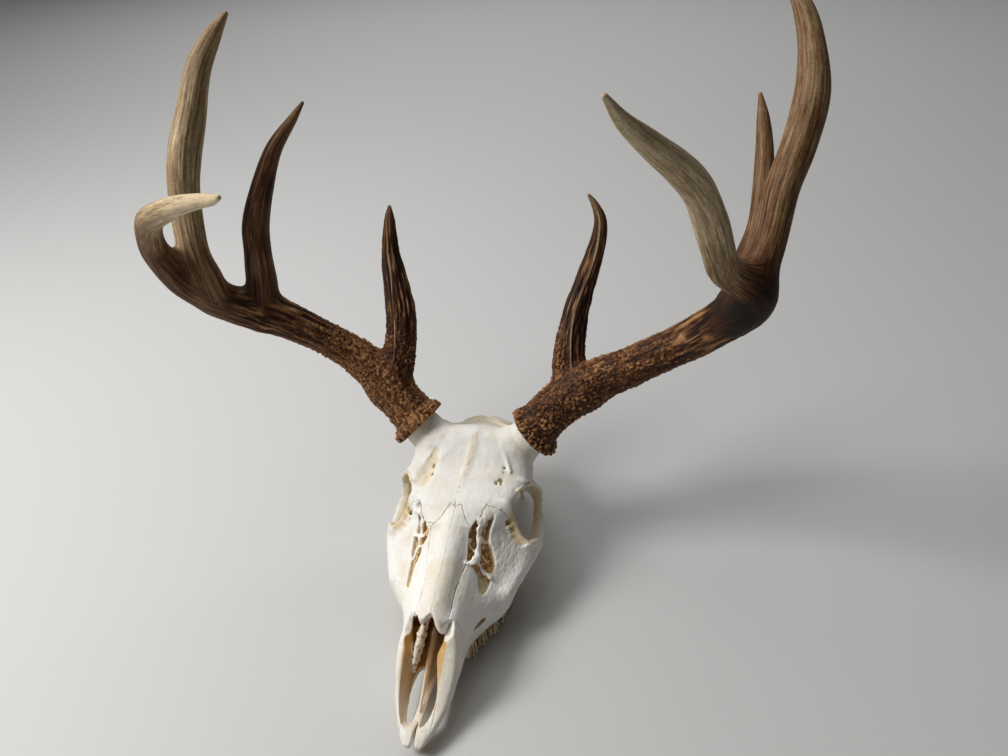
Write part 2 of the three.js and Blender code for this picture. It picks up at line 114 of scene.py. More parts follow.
def blank_material(name):
    """A material with only its own principled shader, and that shader."""
    material = bpy.data.materials.new(name)
    material.use_nodes = True
    return material, material.node_tree, material.node_tree.nodes["Principled BSDF"]


def mixed(tree, share, first, second, blend_type="MIX"):
    """The colour between two colours at a share from 0 to 1."""
    made = tree.nodes.new("ShaderNodeMix")
    made.data_type = "RGBA"
    made.blend_type = blend_type
    for place, value in ((0, share), (6, first), (7, second)):
        if isinstance(value, bpy.types.NodeSocket):
            tree.links.new(value, made.inputs[place])
        else:
            made.inputs[place].default_value = value
    return made.outputs[2]


def attribute(tree, key):
    """A number that the mesh keeps at each of its points."""
    return put(tree, "ShaderNodeAttribute", attribute_name=key).outputs["Fac"]


def cloudy(tree, place, scale, detail, roughness=0.5):
    """Cloudy noise from 0 to 1, with `scale` patches to the metre, each broken up `detail` times."""
    settings = {"Vector": place, "Scale": scale, "Detail": detail, "Roughness": roughness}
    return put(tree, "ShaderNodeTexNoise", settings).outputs["Fac"]


def sums(tree, operation, *values, clamp=False):
    """The result of one sum on two or three numbers."""
    made = put(tree, "ShaderNodeMath", dict(enumerate(values)), operation=operation, use_clamp=clamp)
    return made.outputs[0]


def carried(tree, value, before, after):
    """The value carried in a straight line from the range `before` to the range `after`, and clamped."""
    ends = zip(("From Min", "From Max", "To Min", "To Max"), before + after)
    return put(tree, "ShaderNodeMapRange", {"Value": value, **dict(ends)}).outputs["Result"]


def linear(red, green, blue):
    """A colour given as it looks on a screen, from 0 to 255, in the values that shaders use."""
    share = np.array([red, green, blue]) / 255
    value = np.where(share <= 0.04045, share / 12.92, ((share + 0.055) / 1.055) ** 2.4)
    return (*value.tolist(), 1.0)


print("bone white as shaders see it:", [round(v, 3) for v in linear(246, 244, 238)])

# %% [markdown]
# ## Table and light
# The skull stands on a plain pale table in a dim room. A key light on the skull's right shapes it, a
# wide roof light and a weak fill light soften the shadows, and a back light brightens the table behind.

# %% Table
TABLE_HALF = 9.0
table_mesh = bpy.data.meshes.new("table")
table_corners = [
    (-TABLE_HALF, -TABLE_HALF, 0), (TABLE_HALF, -TABLE_HALF, 0),
    (TABLE_HALF, TABLE_HALF, 0), (-TABLE_HALF, TABLE_HALF, 0),
]
table_mesh.from_pydata(table_corners, [], [(0, 1, 2, 3)])
table = bpy.data.objects.new("table", table_mesh)
bpy.context.scene.collection.objects.link(table)
table_look, tree, shader = blank_material("pale_table")
grain = cloudy(tree, put(tree, "ShaderNodeTexCoord").outputs["Object"], 260.0, 3.0)
bump = put(tree, "ShaderNodeBump", {"Height": grain, "Strength": 0.12, "Distance": 0.0005})
tree.links.new(bump.outputs["Normal"], shader.inputs["Normal"])
shader.inputs["Base Color"].default_value = linear(201, 201, 200)
shader.inputs["Roughness"].default_value = 0.6
table_mesh.materials.append(table_look)
print("table:", 2 * TABLE_HALF, "m square")

# %% Lights


def window(name, place, aim, size, watts, tint):
    """A square soft light at a place, turned to shine at a point."""
    data = bpy.data.lights.new(name, "AREA")
    data.shape = "SQUARE"
    data.size = size
    data.energy = watts
    data.color = tint
    lamp = bpy.data.objects.new(name, data)
    lamp.location = place
    lamp.rotation_euler = (Vector(aim) - Vector(place)).to_track_quat("-Z", "Y").to_euler()
    bpy.context.scene.collection.objects.link(lamp)


window("key_light", (-1.06, -0.27, 1.24), (0.0, 0.0, 0.1), 0.6, 21.0, (1.0, 0.99, 0.975))
window("roof_light", (-1.0, 0.2, 2.6), (0.0, 0.0, 0.0), 2.2, 13.0, (1.0, 0.995, 0.985))
window("fill_light", (0.9, -1.7, 1.6), (0.0, 0.0, 0.15), 1.6, 0.8, (0.98, 0.99, 1.0))
window("back_light", (-0.6, 2.7, 2.4), (-0.4, 2.8, 0.0), 3.2, 48.0, (1.0, 1.0, 1.0))
world = bpy.data.worlds.new("room")
world.use_nodes = True
world.node_tree.nodes["Background"].inputs["Color"].default_value = (1.0, 0.99, 0.975, 1.0)
world.node_tree.nodes["Background"].inputs["Strength"].default_value = 0.07
bpy.context.scene.world = world
bpy.context.scene.view_settings.view_transform = "Standard"
print("lights:", [item.name for item in bpy.data.lights])

# %% [markdown]
# ## Distance fields
# A skull is full of holes, thin walls and smooth joins, which are hard to weave from sheets. So the
# bone is first described by a *distance field*: a block of small cells, each of which holds how far it
# is from the nearest bone surface, less than zero inside. Two shapes join by the lesser of their
# distances, and a hole is cut by the greater. Rounding that choice off gives the soft fillets of bone.

# %% Smooth joins
FAR = 40.0              # the distance that an empty cell holds
SPARE_CELLS = 4         # how many cells beyond a shape's corners are worked out too


def soft_least(first, second, blend):
    """The lesser of two distances, rounded off where they differ by less than `blend`."""
    if blend <= 0:
        return np.minimum(first, second)
    near = np.maximum(blend - np.abs(first - second), 0) / blend
    return np.minimum(first, second) - near * near * (blend / 4)


class Block:
    """A block of cells that holds distances, with the place of its first cell and its cell size."""

    def __init__(self, low, high, cell):
        self.cell = cell
        self.low = np.array(low, float)
        counts = np.round((np.array(high, float) - self.low) / cell).astype(int) + 1
        self.axes = [self.low[i] + cell * np.arange(counts[i]) for i in range(3)]
        self.value = np.full(counts, FAR, np.float32)

    def near(self, low, high):
        """The part of the block between two corners, and the coordinates of its cells."""
        first = np.floor((np.array(low) - self.low) / self.cell).astype(int)
        last = np.ceil((np.array(high) - self.low) / self.cell).astype(int) + 1
        spans = [slice(max(a, 0), max(min(b, n), 0)) for a, b, n in zip(first, last, self.value.shape)]
        x, back, height = (axis[span].astype(np.float32) for axis, span in zip(self.axes, spans))
        return tuple(spans), x[:, None, None], back[None, :, None], height[None, None, :]

    def join(self, shape, blend=0.0):
        """Adds a shape, with a fillet of about `blend`."""
        low, high, distance = shape
        margin = blend + SPARE_CELLS * self.cell
        spans, x, back, height = self.near(np.array(low) - margin, np.array(high) + margin)
        self.value[spans] = soft_least(self.value[spans], distance(x, back, height), blend)

    def carve(self, shape, blend=0.0):
        """Cuts a shape away, with an edge rounded by about `blend`."""
        low, high, distance = shape
        margin = blend + SPARE_CELLS * self.cell
        spans, x, back, height = self.near(np.array(low) - margin, np.array(high) + margin)
        self.value[spans] = -soft_least(-self.value[spans], distance(x, back, height), blend)


# %% [markdown]
# ## Eggs, rods and mirrored shapes
# Most bone parts are eggs, or rods of changing thickness. A shape is kept as its two corners and a
# function that gives the distance for whole arrays of cells at once.

# %% Eggs and rods


def unit(vector):
    """The vector with length one."""
    vector = np.asarray(vector, float)
    return vector / np.linalg.norm(vector)


def egg(centre, radii):
    """An egg: distance is k(k-1)/g, where k is the point's size in radii and g its slope."""
    centre = np.asarray(centre, float)
    radii = np.asarray(radii, float)

    def distance(x, back, height):
        offset = [q - c for q, c in zip((x, back, height), centre)]
        size = np.sqrt(sum((q / r) ** 2 for q, r in zip(offset, radii)))
        slope = np.sqrt(sum((q / r**2) ** 2 for q, r in zip(offset, radii)))
        return (size * (size - 1) / np.maximum(slope, 1e-6)).astype(np.float32)

    return centre - radii, centre + radii, distance


def rod(path, squash=1.0, flat=(0, 0, 1)):
    """A rod along points (x, back, height, radius): distance to the nearest stretch of the path, less
    the radius there. `squash` thins it across the direction nearest to `flat`."""
    points = np.asarray(path, float)
    reach = points[:, 3:].max()

    def distance(x, back, height):
        best = None
        for start, end in zip(points[:-1], points[1:]):
            along = end[:3] - start[:3]
            length2 = along @ along
            from_start = (x - start[0], back - start[1], height - start[2])
            share = sum(a * q for a, q in zip(along, from_start)) / length2
            share = np.clip(share, 0, 1).astype(np.float32)
            offset = [q - a * share for a, q in zip(along, from_start)]
            size = np.sqrt(sum(q * q for q in offset))
            radius = start[3] + (end[3] - start[3]) * share
            if squash != 1.0:
                thin = unit(np.cross(np.cross(along, flat), along))
                side = sum(t * q for t, q in zip(thin, offset))
                stretched = np.sqrt(size * size + side * side * (1 / squash**2 - 1)) + 1e-6
                new = (stretched - radius) * np.maximum(size / stretched, squash)
            else:
                new = size - radius
            best = new if best is None else np.minimum(best, new)
        return best.astype(np.float32)

    return points[:, :3].min(0) - reach, points[:, :3].max(0) + reach, distance


def on_both_sides(shape):
    """A shape and its mirror image on the skull's other side, where x is swapped for -x."""
    low, high, distance = shape
    other_low = np.array([-high[0], low[1], low[2]])
    other_high = np.array([-low[0], high[1], high[2]])
    return [shape, (other_low, other_high, lambda x, back, height: distance(-x, back, height))]


print("shapes: eggs, rods and their mirror images")

# %% [markdown]
# ## Lofts
# The long bodies of a skull are known by their cross-sections. Each row of the tables below is a half
# section: the distance behind the nose, the height of the midline on top, then x and height of the
# edge, the hollow, the widest bulge and the lower edge, and the height of the midline below. A smooth
# curve runs through the points, and the rows blend from one to the next.

# %% Sections of the skull
FACE = [
    [2.5, 12, 4, 12, 6, 11.5, 6.5, 10.5, 4.5, 8.5, 8.5],
    [8, 15, 6.5, 15, 9, 14, 10, 12, 7, 8, 8],
    [14, 17, 9.5, 17, 12, 16, 13, 12.5, 9, 8, 8],
    [24, 20, 14, 20, 16, 19, 17, 15.5, 11, 8, 8],
    [34, 27, 17.5, 26.5, 19.6, 24, 20.5, 20, 12.5, 8, 8],
    [46, 38, 20, 37, 22, 33, 22.5, 27, 14, 8.5, 8.5],
    [58, 50, 18.5, 48, 22.5, 42, 24, 34, 16, 9, 9],
    [70, 61, 15.5, 57.5, 21.5, 48, 23.5, 40, 18, 11, 11],
    [82, 64, 15, 59.5, 22, 50, 27, 39, 20.5, 13, 12],
    [96, 67, 15, 62.5, 24, 52, 33.5, 37, 28.5, 14, 12],
    [112, 71, 16, 65.5, 28, 53, 46, 36, 40, 16, 12],
    [130, 77, 18, 73, 32, 61, 52, 41, 44, 20, 12],
    [148, 87, 22, 83, 40, 66, 58, 47, 47, 28, 13],
    [162, 91.5, 37, 86, 45, 67, 60, 50, 44, 34, 15],
    [172, 91.5, 33, 85, 36, 76, 34, 66, 24, 54, 44],
    [184, 92, 26, 86, 28, 81, 22, 77, 14, 75, 74],
]
NOSE_TUBE = [
    [0, 60, 47.5, 11.5], [0, 72, 51.5, 12.6], [0, 84, 55, 12.9], [0, 96, 57.7, 13.2], [0, 112, 61, 13.7],
    [0, 124, 64, 14.6], [0, 136, 67, 16.3], [0, 148, 70.5, 18],
]
CORE = [
    [140, 82, 20, 78, 23, 70, 22, 56, 16, 26, 15],
    [160, 88, 24, 84, 22, 74, 19, 58, 13, 32, 17],
    [175, 92, 26, 88, 22, 78, 18, 60, 12, 36, 22],
    [190, 97, 30, 93, 27, 82, 23, 64, 15, 38, 25],
    [205, 105, 33, 98, 34, 86, 32, 66, 20, 40, 25],
    [218, 111, 34, 103, 38, 88, 38, 66, 27, 38, 23],
    [232, 105, 30, 98, 37, 84, 39, 64, 31, 36, 21],
    [246, 96, 26, 90, 35, 77, 38, 58, 33, 33, 21],
    [258, 88, 22, 83, 35, 70, 39, 52, 34, 32, 22],
    [268, 82, 19, 77, 33, 64, 37, 48, 31, 32, 25],
    [276, 76, 14, 72, 26, 60, 28, 48, 22, 34, 30],
    [281, 67, 9, 65, 14, 58, 15, 48, 12, 37, 34],
]
ROOF = [
    [142, 80.5, 17, 78, 23, 75.5, 26, 73.5, 17, 72, 71],
    [154, 89, 25, 86, 33, 83, 35, 79, 24, 75, 74],
    [166, 92, 29, 90, 38, 87, 41, 83, 30, 78, 76],
    [180, 95, 32, 93, 43, 90, 47, 85, 36, 80, 79],
    [192, 98, 35, 96, 46, 91, 52, 83, 39, 79, 82],
    [203, 104, 36, 100, 47, 93, 51, 83, 40, 80, 86],
    [214, 111, 36, 105, 45, 95, 46, 87, 38, 82, 90],
    [226, 110, 30, 103, 39, 95, 41, 87, 34, 83, 90],
    [236, 102, 25, 97, 33, 90, 35, 85, 28, 82, 86],
]
NOSE_CAVITY = [
    [11, 30, 4, 30, 5, 25, 6, 20, 5, 17.5, 17.5],
    [17, 36, 8.5, 34, 10, 26, 9.5, 19, 7.5, 14.5, 14.5],
    [25, 44, 12, 38, 12.8, 27, 12, 20, 9, 12.5, 12],
    [36, 58, 15, 50, 15.8, 35, 12.8, 25, 10.5, 12.5, 12],
    [47, 78, 16, 66, 16.6, 44, 10.5, 32, 10, 13, 12.5],
    [56, 82, 16, 74, 16.8, 51, 9.2, 39, 9.5, 14, 13],
    [61.5, 56, 8.5, 54, 13, 48, 10, 39, 10, 14.5, 13.5],
    [72, 60, 9.5, 57, 13, 49, 13.5, 40, 12, 16, 15],
    [84, 63.5, 10, 60, 15, 50, 17, 40, 15, 18, 16],
    [94, 66, 10.5, 61, 17, 50, 19, 40, 16, 20, 18],
    [118, 71, 12, 66, 18, 54, 18, 44, 14, 28, 24],
    [140, 78, 12, 72, 17, 62, 15, 50, 12, 38, 34],
]


def cubic(start, end, slope_in, slope_out, t):
    """The curve from start to end as t runs from 0 to 1, with the given slopes at its two ends."""
    rise = end - start
    third = slope_in + slope_out - 2 * rise
    return start + t * (slope_in + t * (3 * rise - 2 * slope_in - slope_out + t * third))


def smooth_loop(points, steps):
    """A closed curve through points: each stretch is a cubic whose slopes weigh its neighbours by the
    square roots of their distances."""
    before, after, beyond = (np.roll(points, shift, axis=0) for shift in (1, -1, -2))
    pairs = ((before, points), (points, after), (after, beyond))
    first, middle, last = (np.linalg.norm(b - a, axis=1)[:, None] ** 0.5 for a, b in pairs)
    slope_in = (points - before) / first - (after - before) / (first + middle) + (after - points) / middle
    slope_out = (after - points) / middle - (beyond - points) / (middle + last) + (beyond - after) / last
    slope_in, slope_out = slope_in * middle, slope_out * middle
    t = (np.arange(steps) / steps)[None, :, None]
    curve = cubic(*(v[:, None, :] for v in (points, after, slope_in, slope_out)), t)
    return curve.reshape(-1, 2)


def smooth_rows(table, places):
    """Each column of a table as a smooth curve of the first column, read at many places."""
    rows = np.asarray(table, float)
    stops = rows[:, 0]
    slopes = np.gradient(rows, stops, axis=0)
    span = np.clip(np.searchsorted(stops, places, side="right") - 1, 0, len(stops) - 2)
    width = (stops[span + 1] - stops[span])[:, None]
    t = ((places - stops[span])[:, None] / width).clip(0, 1)
    return cubic(rows[span], rows[span + 1], slopes[span] * width, slopes[span + 1] * width, t)


def outline_distance(across, up, outline):
    """Distance to a closed outline, less than zero inside. A point is inside where a line from it
    crosses the outline an odd number of times."""
    start = outline.astype(np.float32)
    end = np.roll(start, -1, axis=0)
    edge = end - start
    px, pz = across[..., None].astype(np.float32), up[..., None].astype(np.float32)
    length2 = np.maximum((edge**2).sum(1), 1e-6)
    share = np.clip(((px - start[:, 0]) * edge[:, 0] + (pz - start[:, 1]) * edge[:, 1]) / length2, 0, 1)
    gap2 = (px - start[:, 0] - share * edge[:, 0]) ** 2 + (pz - start[:, 1] - share * edge[:, 1]) ** 2
    rise = np.where(np.abs(edge[:, 1]) < 1e-6, 1e-6, edge[:, 1])
    crosses = (start[:, 1] > pz) != (end[:, 1] > pz)
    crosses &= px < edge[:, 0] * (pz - start[:, 1]) / rise + start[:, 0]
    inside = crosses.sum(-1) % 2 == 1
    return np.where(inside, -1, 1) * np.sqrt(gap2.min(-1))


def doubled(values, axis):
    """Twice as many cells along one axis, with the mean of each two neighbours between them."""
    values = np.moveaxis(values, axis, 0)
    finer = np.empty((2 * len(values) - 1, *values.shape[1:]), np.float32)
    finer[0::2] = values
    finer[1::2] = (values[:-1] + values[1:]) / 2
    return np.moveaxis(finer, 0, axis)


LOFT_MARGIN = 6         # how far beyond its first and last row a loft still gives distances
LOOP_STEPS = 5          # points on the outline for each point of a section


def loft(table, block):
    """The field of a loft over a whole block: the section's outline distance, slice by slice on cells
    twice as wide, for the skull's left side, then doubled and mirrored."""
    left_half = block.axes[0][len(block.axes[0]) // 2 :: 2]
    back, height = (axis[::2] for axis in block.axes[1:])
    front, rear = table[0][0], table[-1][0]
    field = np.full((len(left_half), len(back), len(height)), FAR, np.float32)
    reached = np.nonzero((back > front - LOFT_MARGIN) & (back < rear + LOFT_MARGIN))[0]
    places = np.clip(back[reached], front, rear)
    across, up = np.meshgrid(left_half, height, indexing="ij")
    for index, row in zip(reached, smooth_rows(table, places)):
        half = np.array([[0, row[1]], *row[2:10].reshape(4, 2), [0, row[10]]])
        other = half[-2:0:-1] * [-1, 1]
        section = outline_distance(across, up, smooth_loop(np.concatenate([half, other]), LOOP_STEPS))
        beyond = max(front - back[index], back[index] - rear)
        field[:, index, :] = np.maximum(section, beyond)
    for axis in range(3):
        field = doubled(field, axis)
    whole = np.concatenate([field[:0:-1], field])
    return whole[:, : block.value.shape[1], : block.value.shape[2]]


print("rows in the tables:", [len(table) for table in (FACE, CORE, ROOF, NOSE_CAVITY)])

# %% [markdown]
# ## The skull as one field
# The field is built as the bone grows: the face and the braincase with its roof, then the stalks for
# the antlers, the bars round the eyes and the cheek arches. After that the eye sockets, the nose, the
# gaps ahead of the eyes and the slots in the palate are cut out.

# %% Bodies of the skull
CELL = 0.7              # the side of a cell, in mm
skull = Block((-70, -2.8, -1.4), (70, 291.2, 121.8), CELL)
face_field = loft(FACE, skull)
nose_tube = Block(skull.low, skull.low + CELL * (np.array(face_field.shape) - 1), CELL)
nose_tube.join(rod(NOSE_TUBE))
face_field = soft_least(face_field, nose_tube.value, 2.5)
core_field = loft(CORE, skull)
roof_field = loft(ROOF, skull)
CAVITY_SHIFT = 4           # cells: the nose passage of this skull lies a little to its right side
cavity_field = np.roll(loft(NOSE_CAVITY, skull), -CAVITY_SHIFT, axis=0)
skull.value = soft_least(soft_least(face_field, core_field, 5), roof_field, 5)
print("cells in the skull's block:", skull.value.size)

BURR_CENTRE = np.array([48.0, 227.0, 106.0])
BEAM_AXIS = unit([0.72, 0.24, 0.65])
stalk_steps = np.array([1, 0.65, 0.3, 0])
stalk_path = [[*(BURR_CENTRE - (30 * t + 0.3) * BEAM_AXIS), 16 + 9 * t**2] for t in stalk_steps]
ARCH_PATH = [
    [51, 146, 41, 8], [56, 154, 42, 9], [60, 164, 42, 8.5], [61, 176, 42.5, 7], [60, 188, 44, 6.5],
    [57, 202, 46, 6], [51, 214, 48, 6], [44, 224, 49, 6.5], [34, 232, 48, 7],
]
ORBIT_BAR_PATH = [
    [58, 177, 43, 7], [59, 187, 49, 6.8], [58.6, 194, 60, 6.2], [55.6, 198, 70, 6], [50.5, 197, 79, 6],
    [44, 191, 86, 7],
]
ORBIT_FRONT_PATH = [
    [59, 160, 51, 4], [55, 152, 55, 4.5], [47, 154, 61, 4.5], [41.5, 159.5, 70, 4.5], [36, 163, 84, 5],
]
NECK_SPIKE = [[31, 256, 44, 11], [31, 259, 28, 8.5], [30.5, 261, 14, 6], [30, 262, 4, 3.6]]
THROAT_WING = [[11, 158, 26, 10], [10.5, 170, 23, 9], [10.5, 184, 26, 7], [11, 198, 32, 5]]
TEMPLE_CREST = [[37, 234, 92, 3], [31, 246, 90, 2], [22, 257, 86, 1.8], [10, 266, 83, 2.4]]
NECK_CREST = [[6, 272, 80.5, 3.4], [24, 269, 74.5, 3], [37, 259, 62, 3], [41, 248, 52, 3]]
FOREHEAD_EDGE = [[16, 231, 104.4, 1.4], [25, 212, 107, 1.4], [31, 200, 100, 1.4], [36, 190, 95.8, 1]]
PAIRED_PARTS = {
    # each part as it is on the skull's left, and the size of its fillet
    "antler stalk": (rod(stalk_path), 7),
    "cheek arch": (rod(ARCH_PATH, 0.45, (1, 0, 0)), 4),
    "bar behind the eye": (rod(ORBIT_BAR_PATH, 0.4, (0.5, 0.85, 0)), 3),
    "neck muscle spike": (rod(NECK_SPIKE, 0.45, (1, 0, 0)), 4),
    "neck joint knob": (egg((13.5, 278, 41), (7.5, 8.5, 12.5)), 4),
    "ear bubble": (egg((21, 248, 27), (8.5, 13, 11)), 2.5),
    "ear swelling": (egg((36, 243, 46), (9, 12, 9)), 4),
    "ear tube": (rod([[36, 244, 50, 4.5], [42, 242, 53, 4]]), 3),
    "throat wing": (rod(THROAT_WING, 0.2, (1, 0, 0)), 3),
    "temple crest": (rod(TEMPLE_CREST), 5),
    "neck crest": (rod(NECK_CREST), 3.5),
    "cheek ridge": (rod([[55, 150, 44, 5], [50, 132, 42, 4], [45, 116, 40, 3]]), 9),
    "forehead edge": (rod(FOREHEAD_EDGE), 2.6),
}
for shape, blend in PAIRED_PARTS.values():
    for half_shape in on_both_sides(shape):
        skull.join(half_shape, blend)
FOREHEAD_RIDGE = np.array([
    [3.6, 217, 109.4, 1.6], [2.9, 208, 105.0, 1.6], [1.8, 198, 99.8, 1.5], [0.7, 186, 95.0, 1.4],
    [-0.2, 174, 91.5, 1.0],
])
BASE_PATH = [[0, 276, 36, 8], [0, 250, 26, 9], [0, 222, 27, 8], [0, 196, 30, 6]]
skull.join(rod(FOREHEAD_RIDGE), 4.5)
skull.join(egg((0, 270, 78), (22, 6, 6)), 5)        # the middle of the neck crest
skull.join(rod(BASE_PATH, 0.6), 4)                  # the keel under the braincase
print("joined on both sides:", list(PAIRED_PARTS))

# %% [markdown]
# ## Openings
# The eye socket is an egg cut through the side, with a ragged front rim. The nose bones end in torn
# points over the open nose, and two slots with an outline of their own go through the palate.

# %% Eye sockets, nose and palate
for shape in on_both_sides(egg((52, 174, 66), (38, 22, 20))):
    skull.carve(shape, 2.5)
for shape in on_both_sides(rod(ORBIT_FRONT_PATH, 0.55, (0, 1, 0.2))):
    skull.join(shape, 4)
SPIKES = [
    [[40, 153, 71, 1.5], [44, 157.5, 71, 0.9], [47, 161, 70.5, 0.4]],
    [[42, 151, 65, 1.7], [47, 155, 65, 1.0], [51, 158, 63, 0.4]],
    [[41, 152, 68, 1.2], [44, 157, 67, 0.5]],
    [[38, 158, 78, 1.5], [41, 161, 77, 0.5]],
    [[47, 150, 60, 1.2], [50, 156, 58.5, 0.5]],
]
for path in SPIKES:
    for shape in on_both_sides(rod(path)):
        skull.join(shape, 1.5)
NOSE_CLEFT = [[0, -4, 10, 1.9], [0, 6, 12, 1.3], [0, 13, 14, 0.7], [0, 19, 16, 0.4]]
skull.value = -soft_least(-skull.value, cavity_field, 1.2)
skull.carve(egg((0, 176, 16), (26, 36, 14)), 3)         # the throat behind the palate
skull.carve(egg((0, 284, 47), (9.5, 18, 9)), 2)         # the hole for the spinal cord
skull.carve(rod(NOSE_CLEFT, 6.0), 1.5)                  # the cleft between the two front tips

NASAL_FRONT_PLACES = [
    -18, -16.5, -15, -13.5, -12.5, -11.5, -10.5, -9, -7, -4, -1.5, 0, 1.5, 3, 5, 7, 8.5, 10, 11.5, 13, 17,
]
NASAL_FRONTS = [75, 75, 74, 70, 68, 72, 71, 69, 67, 67.5, 70, 71, 70.5, 68, 66, 65, 65, 67, 69, 71, 73]


def above_nose(x, back, height):
    """Distance to the open space ahead of the nose bones: its rear edge follows their ragged ends."""
    front = np.interp(x, NASAL_FRONT_PLACES, NASAL_FRONTS).astype(np.float32)
    floor = 44 + 0.7 * (back - 60) + 1.1 * np.maximum(64 - back, 0)
    floor = floor + np.where(x < 0, 0.3, 0.9) * np.maximum(np.abs(x) - 10, 0)
    ahead = (back - front) * 0.8
    aside = np.abs(x + 1.7) - 18
    return np.maximum(np.maximum(ahead, floor - height), aside).astype(np.float32)


skull.carve(((-20, 52, 40), (17, 76, 70), above_nose), 1.2)

SLOT = np.array([
    [4.6, 15.5], [6.6, 17.5], [8.8, 24], [10.4, 33], [11.3, 42], [11.2, 51], [9.8, 58.5], [7.2, 61.5],
    [4.6, 60], [3.6, 54], [3.0, 46], [2.7, 38], [2.6, 29], [2.8, 21], [3.4, 17],
])


def slot_distance(x, back, height):
    """Distance to the palate slot's outline, at every height between its two ends."""
    across, along = np.broadcast_arrays(np.abs(x[:, :, 0] + 1.6), back[:, :, 0])
    outline = outline_distance(across, along, smooth_loop(SLOT, 3))[:, :, None]
    return np.maximum(outline, np.abs(height - 10) - 9).astype(np.float32)


skull.carve(((-15, 12, 1), (12, 64, 19), slot_distance), 1.0)
print("sockets, nose and palate cut")

# %% [markdown]
# ## The gap ahead of the eye
# The gap is read on the slope of the face: how far back, and how far down the slope. Each side has an
# outline of its own, and thin shards and bars of bone are left standing in it, as in a real skull.

# %% The gaps and their shards
SLOPE = np.array([0.8, -0.6])       # the direction down the slope of the face, as x and height
STEEP = np.array([0.6, 0.8])        # the direction straight out of that slope
FACE_STOPS = [104, 111, 117.5, 130, 139, 152.5]
FACE_LEVELS = [56.5, 59.5, 65.5, 69, 74, 83.2]
GAPS = {
    1: [
        [153.5, -30.5], [148, -35.4], [139, -36.8], [131, -33.6], [123, -30], [118, -27.4], [116.5, -22],
        [113, -15.4], [106.5, -11.3], [104.1, -6.5], [108, -4], [115.7, -3.6], [125.9, -5.8], [130.2, -8],
        [135.2, -13.8], [138.2, -18.8], [144.6, -22.4], [152.4, -25.6],
    ],
    -1: [
        [156, -27.5], [150.6, -27.5], [144, -28.5], [136.9, -30.5], [131.9, -28], [127.1, -23],
        [121.4, -18.5], [117.2, -12.8], [110, -9.5], [102.5, -7.5], [104.6, -4], [112.9, -5], [122.5, -8.6],
        [130, -10.5], [136.2, -13.5], [141, -18], [146.1, -22.1], [154, -23],
    ],
}
GAP_DEPTH_STOPS = [102, 108, 115, 119, 126, 140, 150, 156]
GAP_DEPTHS = {1: [2.5, 3.5, 4, 5, 7.5, 8, 7.5, 5], -1: [2.2, 3, 3.4, 3.8, 4.2, 4.2, 4, 3]}
SHARDS = {
    1: [
        [
            [155, -30, 0, 3.4], [149, -31.5, 0.4, 2.4], [142, -31, 0.6, 3.2], [136, -27, 1, 2.4],
            [130, -24.2, 1.2, 2.6], [122, -22.5, 0.2, 3.2],
        ],
        [[124, -23.5, 0, 2.2], [118, -24, -0.2, 2.6], [116, -29, 0, 1.8]],
        [[151, -28, 3, 1.6], [145, -26.5, 4, 1.0], [140, -24.5, 4, 1.2], [135, -20, 4.5, 1]],
        [[141, -30, 2.4, 1.2], [139, -26, 3.4, 0.9], [138, -21, 3, 1.2]],
        [[131, -24, 2, 1.2], [128, -17, 4, 0.9], [127, -11, 4, 1.2]],
        [[133, -33, 3, 1.2], [129, -28, 4.5, 1.0], [127, -24, 3, 1.2]],
        [[121, -22, 1, 2.0], [121, -16.5, 3, 1.3], [119, -11, 4.4, 1.8], [118, -6, 4, 2.2]],
    ],
    -1: [
        [
            [157, -26, 0, 2.2], [150, -25.4, 0.4, 1.6], [144, -24.6, 0.6, 1.9], [138, -22, 0.8, 1.5],
            [131, -19.4, 1, 1.8], [124, -14.5, 1.5, 1.6], [118, -10, 1.5, 1.2],
        ],
        [[153, -23, 0, 2.4], [150.5, -24.5, 0.2, 2.2]],
        [[146, -28, 0.5, 1.8], [143, -24, 0.8, 1.4]],
        [[139, -15, 0.8, 1.7], [136, -19, 1, 1.4], [135, -24, 0.6, 1.4]],
        [[128, -24, 1, 1.3], [129, -19, 1.4, 1.1]],
    ],
}
SLIT = [[121, -15.5, 4, 1.0], [117.5, -12, 6, 1.2], [114.5, -10, 5.5, 0.8]]
SHARD_STEP = 2.2        # about how far apart a shard's bends are
GAP_EDGE = 0.8          # how much a gap's edge is rounded


def on_slope(path, side):
    """Points (back, down the slope, depth, radius) as (x, back, height, radius) on one side."""
    back, down, depth, radius = np.array(path, float).T
    level = np.interp(back, FACE_STOPS, FACE_LEVELS) - depth
    x = SLOPE[0] * down + STEEP[0] * level
    height = SLOPE[1] * down + STEEP[1] * level
    return np.column_stack([side * x, back, height, radius])


def lengths_along(path):
    """How far along the path each of its points is: the sum of the straight stretches before it."""
    return np.concatenate([[0], np.cumsum(np.linalg.norm(np.diff(path[:, :3], axis=0), axis=1))])


def read_path(path, stops, places):
    """Every column of the path, read at places between its stops."""
    return np.stack([np.interp(places, stops, column) for column in path.T], axis=1)


def ragged(path, step, seed):
    """The path with a point about every `step`, each shaken a little and thinned or thickened."""
    path = np.array(path, float)
    lengths = lengths_along(path)
    points = read_path(path, lengths, np.linspace(0, lengths[-1], max(int(lengths[-1] / step), 2)))
    chance = np.random.default_rng(seed)
    points[:, :3] += chance.uniform(-0.55, 0.55, (len(points), 3))
    points[:, 3] *= chance.uniform(0.65, 1.5, len(points))
    return points


